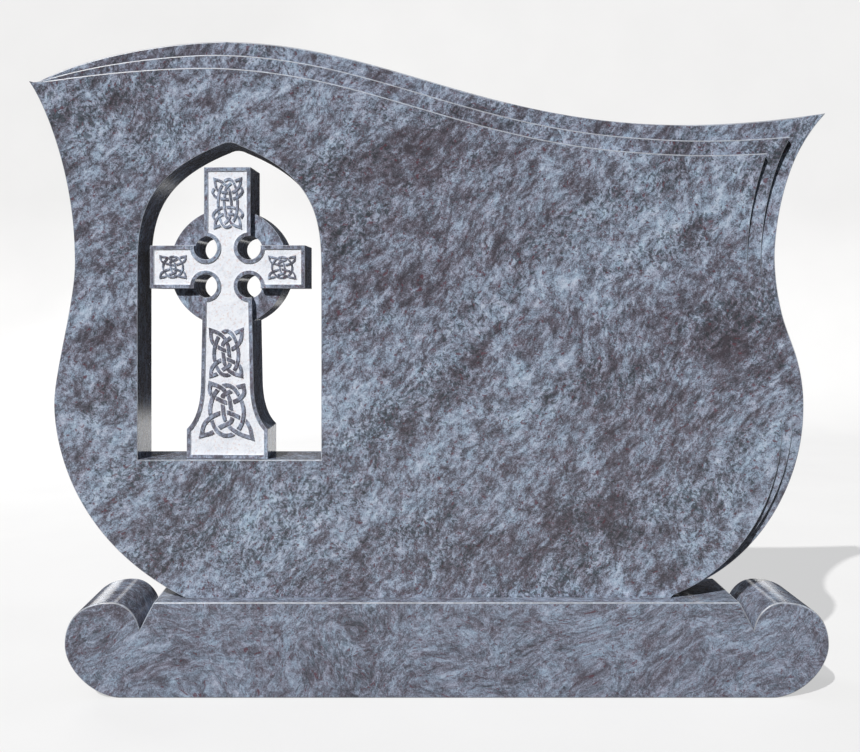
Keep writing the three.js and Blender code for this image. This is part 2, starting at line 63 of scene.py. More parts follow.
# Slab
SLAB_THICKNESS = 101.6
TIP_SPAN = 1299.4
LEFT_TIP = (-TIP_SPAN / 2, 836.6)
RIGHT_TIP = (TIP_SPAN / 2, 789.1)
CREST = (-341.9, 906.3)
TROUGH = (416.1, 769.8)
LEFT_WAIST = (-575.5, 544.7)
LEFT_BELLY = (-609.0, 314.8)
LEFT_FOOT = (-395.6, 0.0)
RIGHT_WAIST = (559.7, 546.0)
RIGHT_BELLY = (604.4, 297.2)
RIGHT_FOOT = (388.2, 0.0)
FRONT = -SLAB_THICKNESS / 2

# Stepped rebates of the slab's front
STEP_WIDTH = 25.4
STEP_SIDE_EXTRA = 1.0  # a step is this much wider down the right side
STEP_DEPTH = 12.7
STEP_GROWTH_LENGTH = 450.0  # from the left tip to the full width
STEP_FLARE = 7.5  # extra width at the right tip
STEP_FLARE_LENGTH = 300.0
STEP_FULL_ABOVE = 717.6  # below this height on the right side the steps grow shallower
STEP_FADE_HEIGHT = 478.6  # where they have run out, at the waist
STEP_WAIST_WIDTH = 22.0  # width of a step where it has run out
LOW_STEP_START = 330.0  # height on the belly where the lower steps begin
LOW_STEP_INNER = 38.0
LOW_STEP_OUTER = 18.0
RUN_OUT = FRONT - 0.1  # depth of a rebate's floor where it has run out

# Window
WINDOW_WIDTH = 297.2
WINDOW_CENTRE_X = -325.3
SILL_HEIGHT = 224.0
SPRING_HEIGHT = 531.2
ARCH_TOP_HEIGHT = 738.1
ARCH_SOFTENING = 14.0  # half width of the rounded tip of the arch

# Cross
CROSS_HEADROOM = 40.1  # between the cross's top and the tip of the arch
CROSS_HEIGHT = ARCH_TOP_HEIGHT - SILL_HEIGHT - CROSS_HEADROOM
CROSS_DEPTH = 88.0
CROSS_SETBACK = 8.0  # from the slab's front to the cross's front, at its middle
CROSS_TURN = 2.5  # degrees, clockwise seen from above
CROSS_SHIFT = -4.8  # its front's middle, left of the window's middle
REST_GAP = 0.3
HEAD_HALF_WIDTH = 38.1
HEAD_LENGTH = 162.2  # from the middle of the arms to the top
ARM_CENTRE_HEIGHT = CROSS_HEIGHT - HEAD_LENGTH
ARM_HALF_HEIGHT = 35.0
ARM_HALF_SPAN = 127.0
SHAFT_TOP_HALF = 40.0
FLARE_HALF = 43.3
FLARE_HEIGHT = 118.0
FOOT_HALF_WIDTH = 66.4
FOOT_HEIGHT = 48.3
DISC_RADIUS = 97.0
DISC_SETBACK = 12.7
EYE_RADIUS = 19.05
EYE_OFFSET_X = 35.7
EYE_OFFSET_Z = 31.0
RIM_WIDTH = 6.35
BORDER_WIDTH = 6.4
FIELD_DEPTH = 2.0  # sunk ground, and the height of the knotwork standing in it
KNOT_ROOT = 0.4  # how deep the knotwork goes into the ground
FACE = -CROSS_DEPTH / 2

# Panels of knotwork: middle, half widths at top and foot, half height, and width of the strands. As shares of
# the half height, rise lifts the middle of the weave and lean lowers its right side.
HEAD_KNOT = dict(x=0.5, z=CROSS_HEIGHT - 58.3, top=21.4, foot=21.0, height=39.4, strand=3.8)
LEFT_KNOT = dict(x=-89.4, z=ARM_CENTRE_HEIGHT + 0.5, top=20.8, foot=20.8, height=17.4, strand=2.7)
RIGHT_KNOT = dict(x=89.4, z=ARM_CENTRE_HEIGHT - 0.5, top=20.8, foot=21.4, height=17.4, strand=2.7)
SHAFT_KNOT = dict(x=-2.0, z=172.3, top=25.5, foot=25.0, height=37.2, strand=5.3, rise=-0.08)
FOOT_KNOT = dict(x=-1.0, z=78.4, top=27.0, foot=41.6, height=42.6, strand=6.0, rise=0.13, lean=0.042)

# Half of each strand in the panel's own square, -1 to 1; half a turn gives the rest
KNOT_CORNERS = [
    [(-1, 1), (-0.55, 0.9), (-0.1, 0.68), (0.1, 0.42), (0.17, 0.1), (0.22, -0.2), (0.245, -0.38),
     (0.15, -0.52), (-0.24, -0.69), (-0.62, -0.9), (-1, -1)],
    [(-1, -1), (-0.94, -0.62), (-0.52, -0.3), (0, -0.19), (0.46, -0.31), (0.82, -0.46), (0.96, -0.68),
     (1, -1)],
]
KNOT_RING = [
    (-0.46, 0.77), (-0.2, 0.92), (0.08, 0.96), (0.36, 0.86), (0.58, 0.62), (0.73, 0.32), (0.79, 0),
    (0.74, -0.32), (0.62, -0.58),
]
LONG_KNOT_CORNERS = [
    [(-1, 1), (-0.5, 0.9), (-0.12, 0.72), (0.12, 0.55), (0.2, 0.3), (0.28, 0.02), (0.24, -0.3), (0.12, -0.62),
     (-0.2, -0.8), (-0.6, -0.92), (-1, -1)],
    [(-1, -1), (-0.93, -0.74), (-0.56, -0.5), (-0.02, -0.44), (0.42, -0.46), (0.8, -0.56), (0.94, -0.76),
     (1, -1)],
]
LONG_KNOT_RING = [
    (-0.42, 0.74), (-0.16, 0.95), (0.15, 0.99), (0.42, 0.87), (0.62, 0.62), (0.71, 0.3),
    (0.75, -0.05), (0.68, -0.4), (0.56, -0.62),
]
LONG_KNOT_LOOP = [
    (-1.03, 0.62), (-1.16, 0.46), (-1.0, 0.3), (-0.5, 0.19), (0.05, 0.16), (0.5, 0.19), (0.92, 0.32),
    (1.14, 0.5), (1.03, 0.66),
]
STRAND_GAP_SHARE = 0.36  # clear gap beside the strand above, as a share of the strand's width
CURVE_STEPS = 8  # points on each span of a strand
DIVE_REACH = 3 * CURVE_STEPS  # points of the strand above on each side of a crossing that can be nearest
CROSSING_RANGE = 10.0  # points further apart than this aren't looked at for a crossing
STRAND_MITRE = 0.36  # keeps the tips of sharp corners short
EDGE_STEP = 0.25
MOST_EDGE_STEPS = 400
SWALLOWED_RANGE = 1.15  # in strand widths; the inner edge has no points this near to a sharp corner
PLACE_MARGIN = 0.05
SHORTEST_SIDE = 0.05

# Arrises
CURVE_ANGLE = 28.0  # degrees; faces that meet more sharply than this have an arris between them
WELD = 0.002  # corners this near to each other are one
LEAST_ROUNDING = 0.02
ARRIS_FINISH = 2  # place of the arris finish among a piece's materials
TIP_EASING = 45.0  # the rounding dies out over this length towards the left tip
FOOT_EASING = 60.0  # and over this one towards the right foot

# Main streaks of the slab's figure: middle (x, z), half length and half width in metres, rise, tone
STREAKS = [
    (-0.055, 0.878, 0.13, 0.032, 28.0, -0.19),
    (0.040, 0.705, 0.17, 0.042, 33.0, -0.14),
    (0.129, 0.562, 0.12, 0.024, 25.0, -0.19),
    (-0.035, 0.415, 0.09, 0.030, 54.0, -0.17),
    (0.455, 0.565, 0.13, 0.050, 3.0, -0.16),
    (0.245, 0.285, 0.19, 0.070, 36.0, -0.22),
    (0.550, 0.430, 0.09, 0.035, 62.0, -0.12),
    (-0.385, 0.290, 0.11, 0.042, 30.0, -0.06),
    (-0.545, 0.550, 0.06, 0.080, 20.0, -0.09),
    (-0.520, 0.730, 0.05, 0.050, 25.0, -0.11),
    (-0.060, 0.990, 0.20, 0.040, -8.0, -0.08),
    (-0.490, 0.940, 0.16, 0.070, 20.0, 0.07),
    (-0.155, 0.790, 0.05, 0.070, 40.0, 0.12),
    (0.240, 0.740, 0.16, 0.036, 48.0, 0.08),
    (0.400, 0.740, 0.18, 0.070, 15.0, 0.07),
    (0.125, 0.385, 0.20, 0.030, 31.0, 0.12),
    (-0.120, 0.460, 0.07, 0.030, 35.0, 0.08),
    (-0.190, 0.270, 0.15, 0.065, 30.0, 0.10),
    (-0.530, 0.385, 0.06, 0.045, 25.0, 0.10),
]

# Stage in metres, and the camera's view
FLOOR_FRONT = -6.0
FLOOR_BACK = 3.2
WALL_BEND = 1.2  # radius between floor and wall
WALL_TOP = 6.0
BACKDROP_HALF_WIDTH = 12.0
CAMERA_PLACE = (-0.046, -1.8278, 0.6347)
FOCAL_LENGTH = 45.98  # millimetres, on a sensor 36 mm wide
PICTURE_WIDTH = 860  # pixels
VIEW_SHIFT = (28, -76)  # pixels from the point straight ahead to the picture's middle

# Curves and offsets

def bend(start, start_handle, end_handle, end, count):
    """Points of a cubic curve, the last one left out."""
    corners = (start, start_handle, end_handle, end)
    points = []
    for i in range(count):
        t = i / count
        s = 1 - t
        weights = (s ** 3, 3 * s * s * t, 3 * s * t * t, t ** 3)
        points.append(tuple(sum(w * c[k] for w, c in zip(weights, corners)) for k in (0, 1)))
    return points


def shifted(point, dx, dz):
    return (point[0] + dx, point[1] + dz)


def slab_top():
    return [
        *bend(LEFT_TIP, shifted(LEFT_TIP, 82, 49.7), shifted(CREST, -70.6, 0), CREST, 60),
        *bend(CREST, shifted(CREST, 259, 0), shifted(TROUGH, -327.6, 0), TROUGH, 96),
        *bend(TROUGH, shifted(TROUGH, 30, 0), shifted(RIGHT_TIP, -118.4, -18.4), RIGHT_TIP, 42),
        RIGHT_TIP,
    ]


def slab_right():
    return [
        *bend(RIGHT_TIP, shifted(RIGHT_TIP, -77.2, -80.7), shifted(RIGHT_WAIST, 0, 31), RIGHT_WAIST, 54),
        *bend(RIGHT_WAIST, shifted(RIGHT_WAIST, 0, -129.8), shifted(RIGHT_BELLY, 0, 126.9), RIGHT_BELLY, 48),
        *bend(RIGHT_BELLY, shifted(RIGHT_BELLY, 0, -131), shifted(RIGHT_FOOT, 132.8, 31), RIGHT_FOOT, 78),
        RIGHT_FOOT,
    ]


def slab_left():
    return [
        *bend(LEFT_FOOT, shifted(LEFT_FOOT, -187.2, 92.7), shifted(LEFT_BELLY, 0, -60), LEFT_BELLY, 78),
        *bend(LEFT_BELLY, shifted(LEFT_BELLY, 0, 53.6), shifted(LEFT_WAIST, 0, -67.1), LEFT_WAIST, 42),
        *bend(LEFT_WAIST, shifted(LEFT_WAIST, 0, 154.2), shifted(LEFT_TIP, 15.9, -20), LEFT_TIP, 54),
    ]


def window_outline():
    half = WINDOW_WIDTH / 2
    x = WINDOW_CENTRE_X

    def side(way):
        return [
            (x + way * half, SPRING_HEIGHT),
            (x + way * half, SPRING_HEIGHT + 90.2),
            (x + way * 135, ARCH_TOP_HEIGHT - 54),
            (x + way * ARCH_SOFTENING, ARCH_TOP_HEIGHT - 5),
        ]

    right, left = side(1), side(-1)
    return [
        (x - half, SILL_HEIGHT),
        (x + half, SILL_HEIGHT),
        *bend(*right, 48),
        *bend(right[3], (x + 5, ARCH_TOP_HEIGHT), (x - 5, ARCH_TOP_HEIGHT), left[3], 12),
        *bend(*reversed(left), 48),
        (x - half, SPRING_HEIGHT),
    ]


def inner_line(line, width_at):
    """A line moved to the right of its run by a width that changes along it."""
    moved = []
    for i, (x, z) in enumerate(line):
        before, after = line[max(0, i - 1)], line[min(len(line) - 1, i + 1)]
        along = Vector((after[0] - before[0], after[1] - before[1])).normalized()
        width = width_at(x, z)
        moved.append((x + along.y * width, z - along.x * width))
    return moved


def crossing(line_a, line_b):
    """First crossing of two lines of points: its indices in both and the point itself."""
    for i in range(len(line_a) - 1):
        for j in range(len(line_b) - 1):
            hit = meeting(line_a[i], line_a[i + 1], line_b[j], line_b[j + 1])
            if hit:
                a, b = Vector(line_a[i]), Vector(line_a[i + 1])
                return i, j, tuple(a.lerp(b, hit[0]))
    raise RuntimeError("the step lines do not meet at the slab's corner")


def meeting(a, b, c, d):
    """Shares of two segments at which they cross, or None."""
    fx, fz = b[0] - a[0], b[1] - a[1]
    sx, sz = d[0] - c[0], d[1] - c[1]
    across = fx * sz - fz * sx
    if abs(across) < 1e-9:
        return None
    gx, gz = c[0] - a[0], c[1] - a[1]
    t = (gx * sz - gz * sx) / across
    s = (gx * fz - gz * fx) / across
    return (t, s) if 0 <= t < 1 and 0 <= s < 1 else None


def clamp(value):
    return min(1.0, max(0.0, value))


def top_width(steps):
    def width(x, z):
        grown = clamp((x + TIP_SPAN / 2) / STEP_GROWTH_LENGTH)
        flared = max(0.0, (x - TIP_SPAN / 2 + STEP_FLARE_LENGTH) / STEP_FLARE_LENGTH)
        return steps * STEP_WIDTH * math.sin(math.pi / 2 * grown ** 0.6) + STEP_FLARE * flared

    return width


def side_width(steps):
    def width(x, z):
        full = clamp((z - STEP_FADE_HEIGHT) / (STEP_FULL_ABOVE - STEP_FADE_HEIGHT))
        return steps * (STEP_WAIST_WIDTH + (STEP_WIDTH + STEP_SIDE_EXTRA - STEP_WAIST_WIDTH) * full)

    return width


def low_width(widest, power):
    return lambda x, z: widest * clamp(z / LOW_STEP_START) ** power


def base_outline():
    end = BASE_LENGTH / 2
    notch = (end - NOTCH_FOOT_FROM_END, NOTCH_FOOT_HEIGHT)
    crest = (end - ROLL_CREST_FROM_END, BASE_HEIGHT)
    eye = (end, ROLL_EYE_HEIGHT)
    under = (end - ROLL_UNDERCUT, 0.0)
    right = [
        (end - NOTCH_CORNER_FROM_END, BASE_HEIGHT),
        *bend(notch, shifted(notch, 5, 25), shifted(crest, -23, 0), crest, 30),
        *bend(crest, shifted(crest, 46, 0), shifted(eye, 0, 43), eye, 40),
        *bend(eye, shifted(eye, 0, -40), shifted(under, 46, 0), under, 40),
        under,
    ]
    left = [(-x, z) for x, z in reversed(right)]
    return [(x + BASE_SHIFT, z) for x, z in right + left]


def cross_outline(inset=0.0):
    """Outline of the cross, or of the sunk field when it is moved inwards."""
    arm_top = ARM_CENTRE_HEIGHT + ARM_HALF_HEIGHT
    arm_foot = ARM_CENTRE_HEIGHT - ARM_HALF_HEIGHT
    flare = bend((FOOT_HALF_WIDTH, FOOT_HEIGHT), (52, 62), (44.5, 85), (FLARE_HALF, FLARE_HEIGHT), 24)
    right = [
        (FOOT_HALF_WIDTH, 0.0),
        *flare,
        (FLARE_HALF, FLARE_HEIGHT),
        (SHAFT_TOP_HALF, arm_foot),
        (ARM_HALF_SPAN, arm_foot),
        (ARM_HALF_SPAN, arm_top),
        (HEAD_HALF_WIDTH, arm_top),
        (HEAD_HALF_WIDTH, CROSS_HEIGHT),
    ]
    outline = right + [(-x, z) for x, z in reversed(right)]
    return inset_outline(outline, inset) if inset else outline


def inset_outline(points, distance):
    """An anticlockwise outline moved inwards, with mitred corners."""
    moved = []
    for i, point in enumerate(points):
        here = Vector(point)
        before = (here - Vector(points[i - 1])).normalized()
        after = (Vector(points[(i + 1) % len(points)]) - here).normalized()
        first, second = Vector((-before.y, before.x)), Vector((-after.y, after.x))
        mitre = (first + second).normalized()
        moved.append(tuple(here + mitre * (distance / max(0.2, mitre.dot(first)))))
    return moved


def ring_outline(x, z, radius, count):
    return [
        (x + radius * math.cos(2 * math.pi * i / count), z + radius * math.sin(2 * math.pi * i / count))
        for i in range(count)
    ]


# Knotwork

def half_turn(points):
    return [(-u, -v) for u, v in points]


def in_panel(panel, u, v):
    """Place of a point of the weave's square in its panel."""
    half = panel["foot"] + (panel["top"] - panel["foot"]) * (v + 1) / 2
    raised = v + panel.get("rise", 0.0) * (1 - v * v) - panel.get("lean", 0.0) * u
    return Vector((panel["x"] + u * half, panel["z"] + raised * panel["height"]))


def smooth_line(panel, points, closed):
    """Centripetal curve through the points of a strand, in millimetres."""
    placed = [in_panel(panel, u, v) for u, v in points]
    count = len(placed)
    spans = count if closed else count - 1
    line = []
    for i in range(spans):
        p1, p2 = placed[i], placed[(i + 1) % count]
        p0 = placed[i - 1] if closed or i else p1 * 2 - p2
        p3 = placed[(i + 2) % count] if closed or i + 2 < count else p2 * 2 - p1
        k0 = math.sqrt((p1 - p0).length)
        k1 = math.sqrt((p2 - p1).length)
        k2 = math.sqrt((p3 - p2).length)
        m1 = ((p1 - p0) / k0 - (p2 - p0) / (k0 + k1) + (p2 - p1) / k1) * k1
        m2 = ((p2 - p1) / k1 - (p3 - p1) / (k1 + k2) + (p3 - p2) / k2) * k1
        for j in range(CURVE_STEPS):
            t = j / CURVE_STEPS
            line.append(
                p1 * (2 * t ** 3 - 3 * t * t + 1)
                + m1 * (t ** 3 - 2 * t * t + t)
                + p2 * (3 * t * t - 2 * t ** 3)
                + m2 * (t ** 3 - t * t)
            )
    if not closed:
        line.append(placed[-1])
    return line


class Strand:
    """A strand of a knot: its line, its sharp corners, and where it dives under others."""

    def __init__(self, points, corners, closed, first_over):
        self.points = points
        self.corners = corners
        self.closed = closed
        self.first_over = first_over
        self.dives = []

    def at(self, i):
        return self.points[i % len(self.points)]

    def segments(self):
        return len(self.points) - (0 if self.closed else 1)


def find_crossings(strand, others):
    found = []
    for other in [strand, *others]:
        for i in range(strand.segments()):
            for j in range(i + 2 if other is strand else 0, other.segments()):
                if other is strand and i == 0 and j == other.segments() - 1:
                    continue
                a, b, c, d = strand.at(i), strand.at(i + 1), other.at(j), other.at(j + 1)
                if (a - c).length_squared > CROSSING_RANGE ** 2:
                    continue
                hit = meeting(a, b, c, d)
                if hit:
                    found.append((i + hit[0], j + hit[1], other))
                    if other is strand:
                        found.append((j + hit[1], i + hit[0], other))
    return sorted(found, key=lambda met: met[0])


def weave(strand, others):
    """The strand passes over and under by turns; whichever lies lower is told where it dives."""
    for i, (here, there, other) in enumerate(find_crossings(strand, others)):
        over = (i % 2 == 0) == strand.first_over
        if not over:
            strand.dives.append((here, other, there))
        elif other is not strand:
            other.dives.append((there, strand, here))


def edge_lines(strand, width):
    """The two edges of a strand, with mitred corners."""
    lines = []
    count = len(strand.points)
    for side in (1, -1):
        line = []
        for i, point in enumerate(strand.points):
            before = strand.at(i - 1) if strand.closed or i else None
            after = strand.at(i + 1) if strand.closed or i < count - 1 else None
            first = (point - before).normalized() if before else (after - point).normalized()
            second = (after - point).normalized() if after else first
            mitre = Vector((-first.y - second.y, first.x + second.x)).normalized()
            reach = width / 2 / max(STRAND_MITRE, mitre.dot(Vector((-first.y, first.x))))
            line.append(point + mitre * side * reach)
        lines.append(line)
    return lines


def distance_to(strand, place, point):
    """Distance of a point from the middle line of a strand near one of its places."""
    nearest = 1e9
    for i in range(int(place) - DIVE_REACH, int(place) + DIVE_REACH + 1):
        if not strand.closed and (i < 0 or i >= len(strand.points) - 1):
            continue
        a, b = strand.at(i), strand.at(i + 1)
        along = b - a
        share = clamp((point - a).dot(along) / along.length_squared)
        nearest = min(nearest, (a + along * share - point).length)
    return nearest


def edge_leaves(edge, dive, width, way):
    """Place and point on an edge where it comes out from under the strand above."""
    place, over, over_place = dive
    for _ in range(MOST_EDGE_STEPS):
        i = math.floor(place)
        point = edge[i % len(edge)].lerp(edge[(i + 1) % len(edge)], place - i)
        if distance_to(over, over_place, point) >= width * (0.5 + STRAND_GAP_SHARE):
            break
        place += way * EDGE_STEP
    return place, point


def corner_turn(strand, start, end):
    """Which way a strand turns at the sharp corner between two places, or nought without one."""
    count = len(strand.points)
    for corner in strand.corners:
        for place in (corner, corner + count):
            if start < place < end:
                before = strand.at(corner) - strand.at(corner - 1)
                after = strand.at(corner + 1) - strand.at(corner)
                return math.copysign(1, before.x * after.y - before.y * after.x)
    return 0


def edge_run(strand, edge, start, end, width, inner):
    """Edge points between two places, without those that a sharp corner swallows."""
    run = [start[1]]
    count = len(strand.points)
    for i in range(math.ceil(start[0] + PLACE_MARGIN), math.ceil(end[0] - PLACE_MARGIN)):
        index = i % count
        swallowed = inner and any(
            corner != index
            and abs(index - corner) < count / 4
            and (strand.points[corner] - strand.points[index]).length < width * SWALLOWED_RANGE
            for corner in strand.corners
        )
        if not swallowed:
            run.append(edge[index])
    run.append(end[1])
    return run


def strand_pieces(strand, width):
    """Outlines of the visible pieces of a strand."""
    left, right = edge_lines(strand, width)
    count = len(strand.points)
    stops = [
        [tuple(edge_leaves(edge, dive, width, way) for way in (-1, 1)) for edge in (left, right)]
        for dive in sorted(strand.dives, key=lambda dive: dive[0])
    ]
    spans = []
    for i, stop in enumerate(stops):
        last = i == len(stops) - 1
        if last and not strand.closed:
            break
        follower = stops[(i + 1) % len(stops)]
        turn = count if last else 0
        spans.append([
            (stop[k][1], (follower[k][0][0] + turn, follower[k][0][1])) for k in (0, 1)
        ])
    if not strand.closed and stops:
        spans.insert(0, [((0, strand.points[0]), stops[0][k][0]) for k in (0, 1)])
        spans.append([(stops[-1][k][1], (count - 1, strand.points[-1])) for k in (0, 1)])
    outlines = []
    for left_ends, right_ends in spans:
        turn = corner_turn(strand, left_ends[0][0], left_ends[1][0])
        outline = edge_run(strand, left, *left_ends, width, turn > 0)
        outline += reversed(edge_run(strand, right, *right_ends, width, turn < 0))
        kept = [p for i, p in enumerate(outline) if (p - outline[i - 1]).length > SHORTEST_SIDE]
        if len(kept) > 2:
            outlines.append([tuple(p) for p in kept])
    return outlines


def knot_outlines(panel, long):
    """Outlines of all strands of a panel; the long weave has a loop more in each half."""
    legs = LONG_KNOT_CORNERS if long else KNOT_CORNERS
    points, corners = [], []
    for leg in [*legs, *(half_turn(leg) for leg in legs)]:
        corners.append(len(points))
        points += smooth_line(panel, leg, False)[:-1]
    outer = Strand(points, corners, True, True)
    half = LONG_KNOT_RING if long else KNOT_RING
    ring = Strand(smooth_line(panel, half + half_turn(half), True), [], True, True)
    weave(outer, [ring])
    strands = [outer, ring]
    if long:
        for line in (LONG_KNOT_LOOP, half_turn(LONG_KNOT_LOOP)):
            loop = Strand(smooth_line(panel, line, False), [], False, False)
            weave(loop, [outer, ring])
            strands.append(loop)
    return [outline for strand in strands for outline in strand_pieces(strand, panel["strand"])]


# Meshes

def prism(name, outline, front, back):
    """Closed prism of an outline in the X-Z plane between two depths, in millimetres."""
    shape = bmesh.new()
    add_prism(shape, outline, front, back)
    return mesh_object(name, shape)


def add_prism(shape, outline, front, back):
    near = [shape.verts.new((x, front, z)) for x, z in outline]
    far = [shape.verts.new((x, back, z)) for x, z in outline]
    shape.faces.new(near)
    shape.faces.new(list(reversed(far)))
    for i in range(len(outline)):
        j = (i + 1) % len(outline)
        shape.faces.new((near[j], near[i], far[i], far[j]))


def mesh_object(name, shape):
    bmesh.ops.recalc_face_normals(shape, faces=shape.faces)
    mesh = bpy.data.meshes.new(name)
    shape.to_mesh(mesh)
    shape.free()
    return in_scene(name, mesh)


def in_scene(name, data):
    made = bpy.data.objects.new(name, data)
    bpy.context.scene.collection.objects.link(made)
    return made


def carve(target, tool, operation="DIFFERENCE"):
    """Cuts, joins or intersects target with tool, and removes the tool."""
    modifier = target.modifiers.new("carve", "BOOLEAN")
    modifier.operation = operation
    modifier.solver = "EXACT"
    modifier.object = tool
    graph = bpy.context.evaluated_depsgraph_get()
    carved = bpy.data.meshes.new_from_object(target.evaluated_get(graph))
    target.modifiers.clear()
    whole, target.data = target.data, carved
    bpy.data.meshes.remove(whole)
    bpy.data.objects.remove(tool, do_unlink=True)
    if not carved.polygons:
        raise RuntimeError(f"{target.name} is empty after a cut")
    return target


def round_arrises(piece, width, segments, weight_at):
    """Rounds the outer arrises; weight_at shares out the width by their middle and the way they face."""
    shape = bmesh.new()
    shape.from_mesh(piece.data)
    bmesh.ops.remove_doubles(shape, verts=shape.verts, dist=WELD)
    bmesh.ops.dissolve_degenerate(shape, edges=shape.edges, dist=WELD)
    layer = shape.edges.layers.float.new("bevel_weight_edge")
    for edge in shape.edges:
        if len(edge.link_faces) != 2 or edge.calc_face_angle(0.0) < math.radians(CURVE_ANGLE):
            continue
        if edge.is_convex:
            facing = (edge.link_faces[0].normal + edge.link_faces[1].normal).normalized()
            edge[layer] = weight_at((edge.verts[0].co + edge.verts[1].co) / 2, facing)
        edge.smooth = edge[layer] > LEAST_ROUNDING
    for face in shape.faces:
        face.smooth = True
    shape.to_mesh(piece.data)
    shape.free()
    rounding = piece.modifiers.new("arrises", "BEVEL")
    rounding.limit_method = "WEIGHT"
    rounding.width = width * MM
    rounding.segments = segments
    rounding.profile = 0.5
    rounding.use_clamp_overlap = False
    rounding.harden_normals = True
    rounding.material = ARRIS_FINISH


def rounding_and_highlight_share(facing, least):
    """Share of an arris's full width: those that face up are widest, a painted highlight, as their pale arris
    finish stands for the light from above catching them.
    """
    return least + (1 - least) * clamp(facing.z * 1.6)


def to_metres(piece):
    piece.data.transform(Matrix.Scale(MM, 4))


def finishes(polished, second):
    """The materials of a piece: its polished faces, a second finish, and its arrises."""
    return [bpy.data.materials[name] for name in (polished, second, "Eased Arris Sheen")]


def paint_faces(piece, materials, choose):
    """Gives each face the material that choose counts out for its middle and its normal."""
    for material in materials:
        piece.data.materials.append(material)
    for face in piece.data.polygons:
        face.material_index = choose(face.center, face.normal)


def take_place(piece, node):
    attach(piece, "root")
    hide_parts(node)


# Shader graphs

def add_node(tree, kind, settings=None, inputs=None):
    made = tree.nodes.new(kind)
    for key, value in (settings or {}).items():
        setattr(made, key, value)
    for key, value in (inputs or {}).items():
        if isinstance(value, bpy.types.NodeSocket):
            tree.links.new(value, made.inputs[key])
        else:
            made.inputs[key].default_value = value
    return made


def maths(tree, operation, a, b=0.0, c=0.0, clamped=False):
    settings = {"operation": operation, "use_clamp": clamped}
    return add_node(tree, "ShaderNodeMath", settings, {0: a, 1: b, 2: c}).outputs[0]


def mixed(tree, factor, a, b, mode="MIX"):
    settings = {"data_type": "RGBA", "blend_type": mode, "clamp_factor": True}
    return add_node(tree, "ShaderNodeMix", settings, {0: factor, 6: a, 7: b}).outputs[2]


def ramp(tree, value, stops):
    made = add_node(tree, "ShaderNodeValToRGB", inputs={0: value})
    elements = made.color_ramp.elements
    while len(elements) < len(stops):
        elements.new(0.5)
    for element, (position, colour) in zip(elements, stops):
        element.position = position
        element.color = (*colour, 1.0)
    return made.outputs[0]


def noise_node(tree, vector, scale, detail, roughness):
    inputs = {"Vector": vector, "Scale": scale, "Detail": detail, "Roughness": roughness}
    return add_node(tree, "ShaderNodeTexNoise", inputs=inputs)


def noise(tree, vector, scale, detail, roughness=0.5):
    return noise_node(tree, vector, scale, detail, roughness).outputs["Fac"]


def wander(tree, vector, scale, detail, roughness):
    """Noise in all three directions, about nought."""
    colour = noise_node(tree, vector, scale, detail, roughness).outputs["Color"]
    return vectors(tree, "SUBTRACT", colour, (0.5, 0.5, 0.5))


def spread(tree, value, amount):
    """A value between 0 and 1, moved to about nought and scaled."""
    return maths(tree, "MULTIPLY", maths(tree, "SUBTRACT", value, 0.5), amount)


def vectors(tree, operation, a, b):
    return add_node(tree, "ShaderNodeVectorMath", {"operation": operation}, {0: a, 1: b}).outputs[0]


def leaned(tree, vector, angle):
    """Turned in the plane of the slab's face."""
    inputs = {"Vector": vector, "Axis": (0, 1, 0), "Angle": angle}
    return add_node(tree, "ShaderNodeVectorRotate", {"rotation_type": "AXIS_ANGLE"}, inputs).outputs[0]


def drawn_out(tree, vector, share):
    """Shrunk along the flow, which makes what lies on it longer."""
    return vectors(tree, "MULTIPLY", vector, (share, 1.0, 1.0))


def use_group(tree, name, inputs):
    return add_node(tree, "ShaderNodeGroup", {"node_tree": bpy.data.node_groups[name]}, inputs)


def add_bump(tree, shader, height, strength, distance):
    inputs = {"Strength": strength, "Distance": distance, "Height": height}
    bump = add_node(tree, "ShaderNodeBump", inputs=inputs)
    tree.links.new(bump.outputs[0], shader.inputs["Normal"])


def new_group(name, inputs, outputs):
    group = bpy.data.node_groups.new(name, "ShaderNodeTree")
    for label, kind, default in inputs:
        socket = group.interface.new_socket(name=label, in_out="INPUT", socket_type=kind)
        if default is not None:
            socket.default_value = default
    for label, kind in outputs:
        group.interface.new_socket(name=label, in_out="OUTPUT", socket_type=kind)
    return group, group.nodes.new("NodeGroupInput"), group.nodes.new("NodeGroupOutput")


def fleck_mask(tree, vector, offset, scale, limit):
    """Small sharp flecks where noise passes a limit."""
    specks = noise(tree, vectors(tree, "ADD", vector, offset), scale, 1.0)
    return maths(tree, "MULTIPLY", maths(tree, "SUBTRACT", specks, limit), 16.0, clamped=True)


